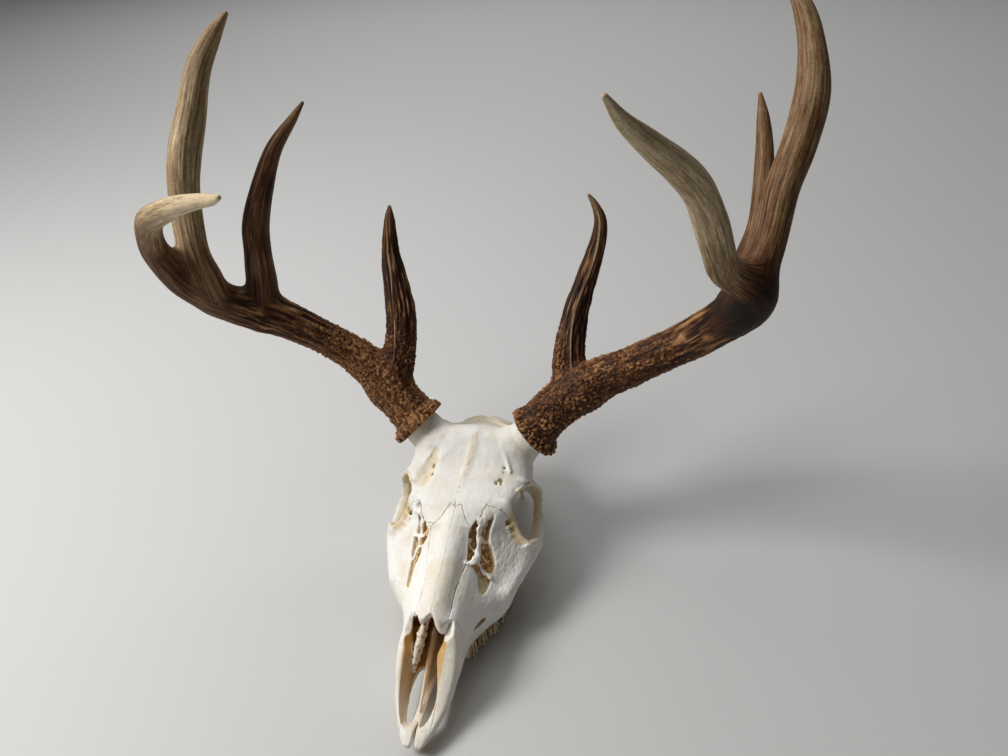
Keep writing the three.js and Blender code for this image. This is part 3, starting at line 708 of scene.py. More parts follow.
def gap_distance(side, face):
    """Distance to one gap: to its outline on the slope, and to a lumpy floor below the surface of the
    face. The outline's distance is worked out once on the slope, then read for every cell."""
    outline = smooth_loop(np.array(GAPS[side], float), 3)

    def distance(x, back, height):
        step = 0.5
        downs = np.arange(-40, 2, step)
        near = outline_distance(*np.meshgrid(back[0, :, 0], downs, indexing="ij"), outline)
        place = ((SLOPE[0] * side * x + SLOPE[1] * height) - downs[0]) / step
        base = np.clip(np.floor(place).astype(int), 0, len(downs) - 2)
        share = (place - base).clip(0, 1)
        row = np.arange(near.shape[0])[None, :, None]
        edge = near[row, base] * (1 - share) + near[row, base + 1] * share
        depth = np.interp(back, GAP_DEPTH_STOPS, GAP_DEPTHS[side])
        lumps = np.sin(back * 0.8 + 1) * np.sin(place * 0.45)
        lumps = lumps + 0.6 * np.sin(back * 1.7) * np.sin(place * 0.9 + 2)
        depth = depth * (1 + 0.3 * lumps * (back > 117))
        return np.maximum(edge, -(face + depth)).astype(np.float32)

    return distance


GAP_BOXES = {1: ((8, 98, 38), (46, 164, 95)), -1: ((-46, 98, 38), (-8, 164, 95))}
for side, (low, high) in GAP_BOXES.items():
    margin = GAP_EDGE + SPARE_CELLS * CELL
    spans, *_ = skull.near(np.array(low) - margin, np.array(high) + margin)
    skull.carve((low, high, gap_distance(side, face_field[spans])), GAP_EDGE)
    for seed, path in enumerate(SHARDS[side]):
        shard = on_slope(ragged(path, SHARD_STEP, seed), side)
        skull.join(rod(shard, 0.5, (side * STEEP[0], 0.2, STEEP[1])), 1.6)
skull.carve(rod(on_slope(SLIT, 1)), 0.6)
print("gaps cut, with", sum(len(paths) for paths in SHARDS.values()), "shards")

# %% [markdown]
# ## Small openings, hollows and seams
# Blood vessels and nerves leave pits: above each eye, and one long hole low on the cheek. The bones of
# the skull meet in sutures, which are fine grooves along wavy lines.

# %% Foramina, grooves and sutures
BROW_HOLLOW = [
    [-28.6, 199, 103.2, 2.4], [-30.5, 191, 99.8, 4.6], [-33, 183, 97.2, 6.8], [-36.5, 175, 96, 7.6],
]
carved = [
    # a shape, and how much its edge is rounded: the hollow and two holes above the right eye
    (rod(BROW_HOLLOW), 5),
    (egg((-27.5, 190, 95), (1.3, 2.3, 4)), 0.8),
    (egg((-26.5, 182, 92.5), (1.2, 1.7, 4)), 0.8),
    # five holes above the left eye
    (egg((31, 192.5, 96), (1.1, 1.2, 3.5)), 0.5),
    (egg((31, 188.8, 96), (0.8, 0.8, 3)), 0.4),
    (egg((30, 181.5, 92.5), (2.2, 1.8, 4)), 0.8),
    (egg((31, 178.2, 92), (1.6, 1.2, 3.5)), 0.6),
    (egg((27, 178.6, 92.5), (1.4, 1.8, 2.5)), 0.8),
    # the long hole low on each cheek
    (rod([[27, 83.5, 36, 1.4], [29.5, 88, 35, 1.9], [31, 93, 34, 1.9], [27, 100, 34, 1.5]]), 1.2),
    (rod([[-27, 83.5, 36, 1.4], [-29.5, 88, 35, 1.9], [-31, 93, 34, 1.9], [-27, 100, 34, 1.5]]), 1.2),
    (egg((30, 89, 35), (5, 4.2, 2.2)), 0.8),
    (egg((-30, 89, 35), (5, 4.2, 2.2)), 0.8),
    # the groove ahead of each eye
    (rod([[35.5, 147, 73, 1.2], [37.5, 140, 66, 1.6], [39, 134, 61, 1]]), 2),
    (rod([[-35.5, 147, 73, 1.2], [-37.5, 140, 66, 1.6], [-39, 134, 61, 1]]), 2),
    # the ear holes
    (egg((44, 243, 53), (5, 2.6, 2.6)), 1),
    (egg((-44, 243, 53), (5, 2.6, 2.6)), 1),
]
for shape, blend in carved:
    skull.carve(shape, blend)
MEDIAN_SUTURE = [[0.3, 178, 94.5], [-0.6, 169, 92.8], [-0.8, 163, 91.8], [-1.2, 157, 90.6], [-0.4, 152, 89.5]]


def groove(path, radius, size, step, seed):
    """A fine round groove along the path, with a bend about every `step`, each shaken sideways in x and
    back by up to `size`."""
    path = np.asarray(path, float)
    lengths = lengths_along(path)
    points = read_path(path, lengths, np.arange(0, lengths[-1], step))
    points[:, :2] += np.random.default_rng(seed).uniform(-size, size, (len(points), 2))
    return rod(np.column_stack([points, np.full(len(points), radius)]))


skull.carve(groove(MEDIAN_SUTURE, 0.4, 0.3, 2.2, 1), 0.8)
RIM_SUTURE = [[42, 176, 89.5], [45, 180, 88.5], [49, 186, 88], [51, 191, 85]]
BAR_SUTURE = [[50, 193, 88], [54, 195, 83], [57, 198, 78]]
for path, seed in ((RIM_SUTURE, 2), (BAR_SUTURE, 3)):
    for shape in on_both_sides(groove(path, 0.6, 0.9, 1.5, seed)):
        skull.carve(shape, 0.6)
RIM = np.array([[44, 177, 88], [47, 184, 87], [52, 192, 82], [57, 198, 73]])
for spot in read_path(RIM, range(4), np.linspace(0, 3, 17)):
    for shape in on_both_sides(egg(spot, (1.5, 1.0, 1.3))):
        skull.join(shape, 0.8)
print("openings cut")

# %% [markdown]
# ## Inside the nose, and the teeth
# The vomer is a thin upright blade along the middle of the nose, and a spongy scroll of bone hangs
# beside it. The cheek teeth grow from the jaw: each has two lobes, a rib on the cheek side of each
# lobe and a worn cup below. A plane at the height of the table trims their worn ends.

# %% Vomer, scroll and cheek teeth
VOMER = [[-1.6, 28, 13, 1.4], [-1.8, 44, 20, 3], [-2, 58, 27, 4], [-2, 76, 33, 4.6], [-2, 98, 37, 5]]
SCROLL = np.array([
    [-5, 77, 54, 3], [-7, 68, 47, 4.2], [-8.5, 60, 40, 4.4], [-10, 53, 33, 3.6], [-10.8, 49, 28, 2.2],
])
SPONGE_BUMPS = 110
TEETH = [
    # how far back, x, width across and length
    [86, 19, 10, 11.5], [97, 24, 10.5, 11], [107.5, 29.5, 12.5, 10.5], [119.5, 32.5, 14.5, 13],
    [133.5, 34, 16, 14.5], [148, 33.5, 15, 14],
]
skull.join(rod(VOMER, 0.5, (1, 0, 0)), 1.5)
skull.join(rod(SCROLL, 0.7, (1, 0, 0)), 1)
chance = np.random.default_rng(5)
for number in range(SPONGE_BUMPS):
    spot = read_path(SCROLL, range(5), [chance.uniform(0, 1) * 4])[0]
    spot[:3] += unit(chance.normal(size=3)) * [0.7, 1, 1] * spot[3] * 0.9
    if number % 2:
        skull.carve(egg(spot[:3], (1.1, 1.2, 1.1)), 0.3)
    else:
        skull.join(egg(spot[:3], (1.3, 1.4, 1.3)), 0.5)
for middle, across, width, length in TEETH:
    for lobe in (-1, 1):
        place = middle + lobe * length / 4
        half = length / 4 + 0.8
        rear = place + half
        column = [[across, place, 26, width / 2], [across, place, 5, width / 2 * 0.94]]
        outer = across + width / 2 - 0.2
        ribs = [
            [[outer, place, 21, 1.0], [outer + 0.4, place, 1.5, 0.8]],
            [[outer, rear, 20, 1.1], [outer + 1.2, rear, 11, 1.1], [outer + 1.4, rear, 0.5, 0.8]],
            [[outer - 0.4, place - half, 9, 0.6], [outer + 0.9, place, 3.4, 0.6], [outer, rear, 8, 0.6]],
        ]
        for shape in on_both_sides(rod(column, half / (width / 2), (0, 1, 0))):
            skull.join(shape, 0.8)
        for path in ribs:
            for shape in on_both_sides(rod(path)):
                skull.join(shape, 0.5)
        for shape in on_both_sides(egg((across, place, -0.4), (width * 0.26, half * 0.5, 3.2))):
            skull.carve(shape, 0.4)
TABLE_CLEARANCE = 0.35
skull.value = np.maximum(skull.value, (TABLE_CLEARANCE - skull.axes[2]).astype(np.float32)[None, None, :])
print("teeth:", 2 * len(TEETH))

# %% [markdown]
# ## The separate bones
# A skull comes apart along its sutures. Each bone here is the whole field, kept only inside a region
# of its own, with a hair of a gap to its neighbours. The edges of the regions wander like real sutures.

# %% Regions of the bones
TIGHT_SUTURE = -0.16    # the gap of a closed suture: its bones overlap by a hair
OPEN_SUTURE = 0.16      # the gap of a suture that has dried open
NASAL_BACKS = [56, 62, 68, 74, 84, 95, 100, 109, 117, 132, 140]
NASAL_HALF_WIDTHS = [11, 11.4, 12, 12.4, 12.2, 12.2, 12.8, 13.8, 15.6, 17, 17]
NASAL_END_PLACES = [0, 1.5, 4, 6, 8, 9.5, 13.5, 20]
NASAL_ENDS = [151.5, 153, 154.5, 151, 147, 144, 140, 137.5]
NASAL_DEPTH = 4.6
BASE_TOP = 58           # the height of the suture between the braincase and the base of the skull


def wander(along, across, size):
    """A small wavy shift, so that no suture runs straight."""
    waves = np.sin(along * 1.9 + across * 0.7) + 0.6 * np.sin(along * 3.7 + 2)
    return size * (waves + 0.5 * np.sin(across * 2.6))


def soft_step(value, start, end):
    """0 before start, 1 after end, and a smooth rise between."""
    share = np.clip((value - start) / (end - start), 0, 1)
    return share * share * (3 - 2 * share)


x, back, height = (axis.astype(np.float32) for axis in skull.axes)
x, back, height = x[:, None, None], back[None, :, None], height[None, None, :]
side = np.abs(x)
half_width = np.interp(back, NASAL_BACKS, NASAL_HALF_WIDTHS)
nasal_end = np.interp(side, NASAL_END_PLACES, NASAL_ENDS)
nasal_edge = side - half_width - wander(back, 0 * side, 0.16)
nasal_rear = back - nasal_end - wander(side, 0 * back, 0.3)
nasal_region = np.maximum(np.maximum(nasal_edge, nasal_rear), -(face_field + NASAL_DEPTH))
front_region = back - (74 - 0.35 * (60 - height)) - wander(height, side, 0.35)
forehead_front = 140 + 17 * np.where(x < 0, soft_step(side, 24, 31), soft_step(side, 17, 24))
deep_front = 166 - 6 * soft_step(height, 40, 66)
face_edge = deep_front + (forehead_front - deep_front) * soft_step(height, 68, 82)
face_region = back - face_edge - wander(side, height, 0.5)
arch_length = np.maximum(back - 217 + 0.5 * (height - 48), 167 - back)
arch_region = np.maximum(np.maximum(44 - side, arch_length), height - 74) + wander(height, back, 0.25)
forehead_region = back - (240 - 0.30 * (side - 10)) - wander(side, height, 0.4)
forehead_region = np.maximum(forehead_region, 70 + 0.25 * (back - 166) - height)
nasal_side_open = (x > 8) * (back > 76) * (back < 119)
brow_open = ((side < 16) | (x > 16)) * (back > 136) * (back < 166) * (height > 70)
open_share = nasal_side_open + 0.7 * brow_open
suture_gap = (TIGHT_SUTURE + (OPEN_SUTURE - TIGHT_SUTURE) * open_share).astype(np.float32)
x_side = {"left": -x, "right": x}
regions = {}
for name, across in x_side.items():
    regions["nasal_" + name] = np.maximum(nasal_region, across - 0.16)
rest = -nasal_region
for name, across in x_side.items():
    regions["premaxilla_" + name] = np.maximum(np.maximum(front_region, across), rest)
    regions["cheek_arch_" + name] = np.maximum(arch_region, across)
rest = np.maximum(rest, -front_region)
rest = np.maximum(rest, -arch_region)
for name, across in x_side.items():
    regions["upper_jaw_" + name] = np.maximum(np.maximum(face_region, rest), across)
rest = np.maximum(rest, -face_region)
regions["forehead"] = np.maximum(forehead_region, rest)
rest = np.maximum(rest, -forehead_region)
base_region = height - BASE_TOP - wander(back, side, 0.5)
regions["braincase"] = np.maximum(rest, -base_region)
regions["skull_base"] = np.maximum(rest, base_region)
print("bones:", list(regions))

# %% [markdown]
# ## From field to surface
# The surface is where the field is zero. OpenVDB, which comes with Blender, finds it as four-cornered
# faces. The faces have to look outwards: if the volume they enclose comes out negative, they are turned.

# %% Surface, normals and noise


BAND_CELLS = 3          # distances beyond this many cells say nothing about the surface
CUBE_CORNERS = np.array([[i & 1, i >> 1 & 1, i >> 2] for i in range(8)])


def surface_of(field, low, cell):
    """Points in millimetres and four-cornered faces of the surface where the field is zero."""
    band = BAND_CELLS * cell
    grid = vdb.FloatGrid(band)
    grid.copyFromArray(np.ascontiguousarray(np.clip(field, -band, band), dtype=np.float32))
    points, faces = grid.convertToQuads(isovalue=0.0)
    points = points.astype(np.float64) * cell + low
    faces = faces.astype(np.int64)
    a, b, c = (points[faces[:, i]] for i in range(3))
    if np.einsum("ij,ij->i", a, np.cross(b, c)).sum() < 0:
        faces = faces[:, ::-1]
    return points, faces


def normals_of(points, faces):
    """At each point, the mean direction of the faces round it, by the cross of their diagonals."""
    across = np.cross(points[faces[:, 2]] - points[faces[:, 0]], points[faces[:, 3]] - points[faces[:, 1]])
    total = np.stack([
        sum(np.bincount(faces[:, corner], across[:, i], len(points)) for corner in range(4)) for i in range(3)
    ], axis=1)
    return total / np.maximum(np.linalg.norm(total, axis=1), 1e-9)[:, None]


def read_smoothly(field, block, points):
    """The field's value at points, blended from the eight cells round each point."""
    scaled = (points - block.low) / block.cell
    base = np.clip(np.floor(scaled).astype(int), 0, np.array(field.shape) - 2)
    share = (scaled - base).clip(0, 1)
    total = np.zeros(len(points))
    for offset in CUBE_CORNERS:
        weight = np.where(offset == 1, share, 1 - share).prod(axis=1)
        i, j, k = (base + offset).T
        total += weight * field[i, j, k]
    return total


def loops_of(start, end, count):
    """A number for each point, the same for all points that edges join: each point takes the least
    number beside it, then the number of the point it names, until nothing changes."""
    number = np.arange(count)
    while True:
        before = number.copy()
        least = np.minimum(number[start], number[end])
        np.minimum.at(number, number[start], least)
        np.minimum.at(number, number[end], least)
        number = number[number]
        if (number == before).all():
            return number


CRUMB_POINTS = 400


def without_crumbs(points, faces):
    """The surface without its loose crumbs: pieces of fewer than CRUMB_POINTS points."""
    number = loops_of(faces[:, [0, 1, 2]].ravel(), faces[:, [1, 2, 3]].ravel(), len(points))
    _, place, count = np.unique(number, return_inverse=True, return_counts=True)
    kept = count[place] >= CRUMB_POINTS
    renumber = np.cumsum(kept) - 1
    return points[kept], renumber[faces[kept[faces[:, 0]]]]


def settled(points, faces, field, block, rounds=2):
    """Evens out the points, and slides each one along the field's slope until the field is zero there."""
    start, end = faces.ravel(), np.roll(faces, -1, axis=1).ravel()
    count = np.bincount(start, minlength=len(points)) + np.bincount(end, minlength=len(points))
    probe = 0.75 * block.cell
    for _ in range(rounds):
        near = np.stack([
            np.bincount(start, points[end, i], len(points)) + np.bincount(end, points[start, i], len(points))
            for i in range(3)
        ], axis=1) / np.maximum(count, 1)[:, None]
        points = 0.5 * points + 0.5 * near
        ahead = [read_smoothly(field, block, points + step) for step in np.eye(3) * probe]
        behind = [read_smoothly(field, block, points - step) for step in np.eye(3) * probe]
        slope = (np.stack(ahead, axis=1) - np.stack(behind, axis=1)) / (2 * probe)
        value = read_smoothly(field, block, points)
        move = value[:, None] * slope / np.maximum((slope**2).sum(1), 0.15)[:, None]
        points = points - move.clip(-0.6 * block.cell, 0.6 * block.cell)
    return points


def hashed(cells, seed):
    """A repeatable random number from -1 to 1 for each cell of whole numbers."""
    bits = cells[..., 0] * 73856093 ^ cells[..., 1] * 19349663 ^ cells[..., 2] * 83492791
    bits = (bits ^ seed * 2654435761) & 0xFFFFFFFF
    bits = (bits ^ bits >> 15) * 2246822519 & 0xFFFFFFFF
    bits = (bits ^ bits >> 13) * 3266489917 & 0xFFFFFFFF
    return (bits ^ bits >> 16) / 0x7FFFFFFF - 1


def noise(points, size, seed):
    """Smooth random value from -1 to 1: random numbers on the corners of cubes `size` wide (one
    size, or one for each axis), blended inside each cube."""
    scaled = points / size
    base = np.floor(scaled).astype(np.int64)
    share = scaled - base
    share = share * share * (3 - 2 * share)
    total = np.zeros(len(points))
    for offset in CUBE_CORNERS:
        weight = np.where(offset == 1, share, 1 - share).prod(axis=1)
        total += weight * hashed(base + offset, seed)
    return total


def box_mean(field, reach):
    """The mean of a field over a cube of `reach` cells to each side, by running sums."""
    for axis in range(3):
        count = field.shape[axis]
        sums = np.cumsum(field, axis=axis, dtype=np.float32)
        zero = np.zeros_like(np.take(sums, [0], axis=axis))
        sums = np.concatenate([zero, sums], axis=axis)
        first = np.clip(np.arange(count) - reach, 0, count)
        last = np.clip(np.arange(count) + reach + 1, 0, count)
        field = (np.take(sums, last, axis=axis) - np.take(sums, first, axis=axis)) / (2 * reach + 1)
    return field


NO_CAPS = np.zeros((0, 3), int)


def mesh_piece(name, points, faces, attributes, caps=NO_CAPS):
    """An object of smooth four-cornered faces and flat cap triangles, from points in millimetres, with
    one number a point for each attribute."""
    mesh = bpy.data.meshes.new(name)
    corners = np.concatenate([faces.ravel(), caps.ravel()]).astype(np.int32)
    starts = np.concatenate([np.arange(len(faces)) * 4, faces.size + np.arange(len(caps)) * 3])
    mesh.vertices.add(len(points))
    mesh.vertices.foreach_set("co", to_metres(points).astype(np.float32).ravel())
    mesh.loops.add(len(corners))
    mesh.loops.foreach_set("vertex_index", corners)
    mesh.polygons.add(len(starts))
    mesh.polygons.foreach_set("loop_start", starts.astype(np.int32))
    mesh.polygons.foreach_set("use_smooth", np.arange(len(starts)) < len(faces))
    mesh.update(calc_edges=True)
    for key, values in attributes.items():
        mesh.attributes.new(key, "FLOAT", "POINT").data.foreach_set("value", values.astype(np.float32))
    piece = bpy.data.objects.new(name, mesh)
    bpy.context.scene.collection.objects.link(piece)
    return piece


print("noise at three places:", noise(np.array([[0.5, 0.2, 0.1], [7, 8, 9.5], [3, 1, 4.5]]), 2.0, 1).round(3))

# %% [markdown]
# ## Bone as a material
# Bleached bone is a warm white, matt to slightly waxy. It turns cream where it is thick or greasy,
# tan inside the nose, and brown on the stained teeth. Pits, sutures and other creases, and the nose bones'
# side away from the key light, are darkened with painted shade. Those zones come from numbers on the mesh,
# and noise breaks them up at a finer scale.

# %% Bone material
BONE_WHITE = linear(246, 244, 238)
BONE_CREAM = linear(231, 212, 172)
BONE_TAN = linear(210, 157, 66)
# dark brown, for stains and for painted shade in creases and on the shaded side of the nose
BONE_PIT_AND_SHADE = linear(96, 72, 46)


def bone_material(name):
    """Bone: white to cream by 'cream', to tan by 'stain', and to dark brown by the third number, which holds
    dark stains and painted shade in creases, with fine grain.
    """
    material, tree, shader = blank_material(name)
    place = put(tree, "ShaderNodeTexCoord").outputs["Object"]
    cream, stain, pit_and_shade = (attribute(tree, key) for key in ("cream", "stain", "pit_and_shade"))
    cloud = cloudy(tree, place, 70.0, 5.0, 0.6)
    fine = cloudy(tree, place, 520.0, 4.0, 0.65)
    stretch = put(tree, "ShaderNodeMapping", {"Vector": place, "Scale": (1.0, 0.16, 0.6)})
    streak = cloudy(tree, stretch.outputs["Vector"], 750.0, 3.0)
    shaken = sums(tree, "MULTIPLY_ADD", cloud, 0.9, -0.45)
    creamy = sums(tree, "ADD", cream, shaken, clamp=True)
    colour = mixed(tree, creamy, BONE_WHITE, BONE_CREAM)
    colour = mixed(tree, stain, colour, BONE_TAN)
    # dark stains and painted shade: dark brown by the third number
    colour = mixed(tree, pit_and_shade, colour, BONE_PIT_AND_SHADE)
    specks = carried(tree, fine, (0.25, 0.5), (0.86, 1.0))
    colour = mixed(tree, 1.0, colour, specks, "MULTIPLY")
    tree.links.new(colour, shader.inputs["Base Color"])
    tree.links.new(carried(tree, cloud, (0.0, 1.0), (0.42, 0.66)), shader.inputs["Roughness"])
    height = sums(tree, "ADD", fine, streak)
    bump = put(tree, "ShaderNodeBump", {"Height": height, "Strength": 0.35, "Distance": 0.0004})
    tree.links.new(bump.outputs["Normal"], shader.inputs["Normal"])
    shader.inputs["Specular IOR Level"].default_value = 0.4
    return material


bone_look = bone_material("bleached_bone")
print("bone nodes:", len(bone_look.node_tree.nodes))

# %% [markdown]
# ## Relief and colour of the bones
# Each point of a bone is moved a little along its normal: low swells everywhere, fine lengthwise
# ridges on the nose. The colour zones come from how hollow the place is (how much bone lies round it)
# and from where it is on the skull.

# %% Making the bones
solid_share = (skull.value < 0).astype(np.float32)
close_share = box_mean(solid_share, 2)      # how much bone there is within 2 cells
wide_share = box_mean(solid_share, 7)       # and within 7 cells


def from_ridge(x, back):
    """How far each point is to the left of the forehead's ridge."""
    return x - np.interp(back, FOREHEAD_RIDGE[::-1, 1], FOREHEAD_RIDGE[::-1, 0])


def bone_relief(points):
    """Swells of about 4 mm, ridges that run back along the nose, a rough forehead ridge, and pores in
    the cheeks."""
    x, back, height = points.T
    swell = 0.16 * noise(points, 4.5, 11) + 0.08 * noise(points, 1.9, 12)
    ridges = 0.07 * noise(points, np.array([0.9, 9.0, 1.6]), 13)
    crest = 1 - soft_step(np.abs(from_ridge(x, back)), 2, 4.5)
    crest = crest * soft_step(back, 170, 180) * (height > 85)
    swell = swell + 0.28 * crest * noise(points, np.array([1.4, 2.2, 1.4]), 15)
    cheek = soft_step(np.abs(x), 18, 26) * soft_step(back, 84, 96) * soft_step(170 - back, 0, 30)
    pores = -0.24 * soft_step(noise(points, np.array([1.1, 2.6, 1.1]), 14), 0.1, 0.6)
    return swell + ridges * soft_step(160 - back, 0, 30) + pores * cheek


def bone_zones(points, normals):
    """How cream, how tan and how dark each point is, from 0 to 1. Each zone is a product of soft steps
    in place, hollowness or depth below the face; `cream`, `tan` and the dark zone are sums of zones. The dark
    zone is partly real stain and partly painted shade, in creases and on the nasal bones' shaded side."""
    x, back, height = points.T
    close = read_smoothly(close_share, skull, points)
    wide = read_smoothly(wide_share, skull, points)
    hollow = soft_step(wide, 0.46, 0.75)
    # painted shade: narrow creases, pits and sutures, where much bone lies close round a point, turn dark
    # brown
    painted_crease_shade = soft_step(close, 0.56, 0.80)
    in_nose = soft_step(-read_smoothly(cavity_field, skull, points + normals * 1.5), -1.0, 1.5)
    in_nose *= (0.3 + 0.7 * soft_step(back, 24, 60)) * (1 - 0.6 * (np.abs(x + 2) < 3.2) * (height < 42))
    ridge = np.exp(-((from_ridge(x, back) / 2.8) ** 2)) * (height > 80)
    ridge = ridge * soft_step(back, 166, 190) * (1 - soft_step(back, 208, 228))
    stalk = np.linalg.norm(np.stack([np.abs(x) - 43, back - 225, height - 100], axis=1), axis=1)
    collar = np.exp(-((stalk / 15) ** 2)) * 0.8
    rear = 0.55 * soft_step(back, 238, 262)
    under = 0.35 * soft_step(-normals[:, 2], 0.1, 0.8)
    patches = 0.22 * noise(points, 17.0, 21) + 0.16 * noise(points, 6.0, 22)
    from_socket = (np.stack([np.abs(x), back, height], axis=1) - (50, 174, 66)) / (14, 22, 20)
    socket = 0.9 * soft_step(1.35 - np.linalg.norm(from_socket, axis=1), 0, 0.35)
    cream = 0.06 + 0.5 * hollow + 0.85 * ridge + collar + rear + under + socket + patches
    tan = 0.95 * in_nose + 0.5 * hollow * soft_step(0.6 - wide, 0, 0.1)
    gap_slope = SLOPE[0] * np.abs(x) + SLOPE[1] * height
    depth = -read_smoothly(face_field, skull, points)
    in_gap = (back > 103) & (back < 158) & (gap_slope > -38) & (gap_slope < -2)
    sunk = in_gap * soft_step(depth, 0.5, 2.6)
    cream += 0.7 * sunk
    tan += in_gap * 0.75 * soft_step(depth, 1.8, 6) * soft_step(back, 112, 122) + 0.2 * socket
    # the nasal bones: a slight real cream and brown stain, and painted shade on their left side, away from
    # the key light
    nasal = soft_step(np.interp(back, NASAL_BACKS, NASAL_HALF_WIDTHS) - np.abs(x), -0.2, 1.6)
    nasal = nasal * soft_step(back, 60, 80) * (1 - soft_step(back, 108, 142)) * (height > 50)
    nasal = nasal * (1 - soft_step(depth, 1, 3))
    cream += 0.2 * nasal + 0.3 * (1 - soft_step(back, 40, 80))
    tooth = (back > 80) & (back < 157) & (height < 19) & (np.abs(x) > 12)
    cream += tooth
    tan += 0.25 * tooth * soft_step(noise(points, 3.0, 33), -0.4, 0.4)
    hole = (np.abs(x) > 22) & (np.abs(back - 89) < 9) & (height > 29) & (height < 41)
    tan += 0.9 * hole * soft_step(depth, 0.8, 2.2)
    hollow_brow = soft_step(3 - rod(BROW_HOLLOW)[2](x, back, height), 0, 3)
    cream += 0.5 * hollow_brow
    tan += 0.2 * hollow_brow * soft_step(noise(points, 4.0, 34), -0.5, 0.5)
    # the teeth's real brown stain, and painted shade in the creases between their ribs
    tooth_stain_and_shade = tooth * (1.15 * soft_step(close, 0.44, 0.56) + 0.3 * noise(points, 2.2, 31))
    scroll = soft_step(1.6 - rod(SCROLL)[2](x, back, height), 0, 1.2)
    tan *= 1 - 0.75 * scroll
    # dark brown: painted shade in creases (less in the gaps ahead of the eyes), and the teeth's stain and
    # shade
    pit_and_shade = np.maximum(0.55 * painted_crease_shade * (1 - 0.6 * sunk), 0.95 * tooth_stain_and_shade.clip(0, 1))
    # the nasal bones' slight dark stain, with painted shade growing toward their left side, which the key
    # light does not reach
    pit_and_shade = np.maximum(pit_and_shade, nasal * (0.05 + 0.2 * soft_step(x, -2, 9)))
    return {"cream": cream.clip(0, 1), "stain": tan.clip(0, 1), "pit_and_shade": pit_and_shade.clip(0, 1)}


BONES = {
    # a finished bone, the solid it stands for, and its slot
    "braincase": ("cranium", "bone"), "skull_base": ("cranium", "bone"), "forehead": ("cranium", "bone"),
    "upper_jaw_left": ("upper_jaw_with_teeth", "bone"), "upper_jaw_right": ("upper_jaw_with_teeth", "bone"),
    "nasal_left": ("nasal_left", "bone"), "nasal_right": ("nasal_right", "bone"),
    "premaxilla_left": ("premaxilla_left", "cream_bone"),
    "premaxilla_right": ("premaxilla_right", "cream_bone"),
    "cheek_arch_left": ("cheek_arch_left", "cream_bone"),
    "cheek_arch_right": ("cheek_arch_right", "cream_bone"),
}
for name, (node, slot) in BONES.items():
    field = np.maximum(skull.value, regions[name] + suture_gap / 2)
    points, faces = without_crumbs(*surface_of(field, skull.low, CELL))
    points = settled(points, faces, field, skull)
    normals = normals_of(points, faces)
    zones = bone_zones(points, normals)
    points = points + normals * bone_relief(points)[:, None]
    piece = mesh_piece(name, points, faces, zones)
    piece.data.materials.append(bone_look)
    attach(piece, "root")
    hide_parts(node)
    print(name, len(faces), "faces")

# %% [markdown]
# ## Antlers
# An antler is one living bone that forks, so it is also made as a field: every limb is a thick path,
# and the limbs join with a fillet, as they do at a real fork. Each path is a list of
# (x, back, height, radius) points with x to the antler's outer side, and a smooth curve through them.

# %% Centre lines
RIGHT_ANTLER = {
    "beam": [
        [51, 228, 110, 18.2], [60, 232, 120, 17.6], [80, 239, 140, 16.4], [99, 244, 157, 15.4],
        [116, 244, 170, 14], [130, 240, 182, 13.3], [150, 232, 199, 14.6], [171, 230, 207, 15.6],
        [189, 222, 218, 14.6], [202, 212, 232, 13], [212, 201, 249, 11.6], [218, 193, 272, 10.2],
        [213, 184, 290, 9.4], [196, 168, 311, 8.6], [166, 147, 328, 7.3], [134, 122, 343, 5.6],
        [99, 92, 358, 3.9], [81, 74, 366, 2.9], [64, 55, 375, 1.4],
    ],
    "brow": [
        [78, 240, 132, 16], [70, 251, 153, 14], [68, 267, 181, 12.2], [73, 281, 205, 10.8],
        [79, 294, 231, 7.8], [80, 304, 257, 4.6], [80, 308.5, 268, 1.6],
    ],
    "second": [
        [169, 230, 208, 10], [167, 234, 230, 12], [172, 247, 250, 10.8], [175, 259, 270, 10.6],
        [171, 274, 294, 8.8], [161, 288, 321, 6.6], [146, 300, 341, 3.6], [137.5, 305.5, 352, 1.4],
    ],
    "third": [
        [197, 213, 227, 9], [197, 209, 246, 12], [204, 214, 268, 11], [212, 234, 304, 11.4],
        [213, 250, 329, 12], [209, 266, 354, 10.8], [203, 281, 382, 9.4], [192, 294, 403, 6],
        [181.5, 300.5, 416, 2],
    ],
}
LEFT_ANTLER = {
    "beam": [
        [51, 228, 110, 18.4], [61, 232, 124, 18], [81, 239, 141, 17.4], [101, 244, 154, 16.6],
        [124, 241, 170, 14.8], [141, 235, 185, 14], [158, 232, 198, 13.8], [172, 226, 211, 14.6],
        [186, 215, 230, 14.6], [199, 205, 248, 14.8], [202, 199, 262, 13.8], [191, 193, 274, 11.8],
        [179, 184, 286, 10.4], [172, 168, 308, 9.6], [165, 151, 331, 9.3], [156, 131, 355, 8.6],
        [145, 112, 373, 7.8], [132, 94, 389, 6.4], [120, 72, 406, 3.8], [113.5, 52, 421, 1.4],
    ],
    "brow": [
        [90, 243, 144, 15], [77, 252, 151, 13.6], [75, 262, 167, 12.4], [77, 275, 187, 10.8],
        [82, 288, 209, 9], [91, 301, 239, 6.8], [94, 308, 260, 5.2], [89, 312, 273, 3], [84, 313.5, 280, 1.4],
    ],
    "second": [
        [190, 212, 238, 8], [196, 222, 268, 8.6], [203, 240, 289, 7], [205, 258, 308, 6.7],
        [205, 277, 328, 6], [203, 291, 345, 4.4], [200, 301.5, 359, 1.4],
    ],
    "third": [
        [199, 204, 250, 9], [203, 206, 276, 11.4], [208, 212, 297, 10.3], [212, 226, 321, 10.8],
        [220, 241, 345, 11.2], [225, 257, 370, 10.6], [223, 272, 394, 8.4], [216, 285, 414, 6.2],
        [203, 300, 432, 1.6],
    ],
}
BEAM_CUTS = (4, 10)     # the beam's points where its lower, middle and upper part meet
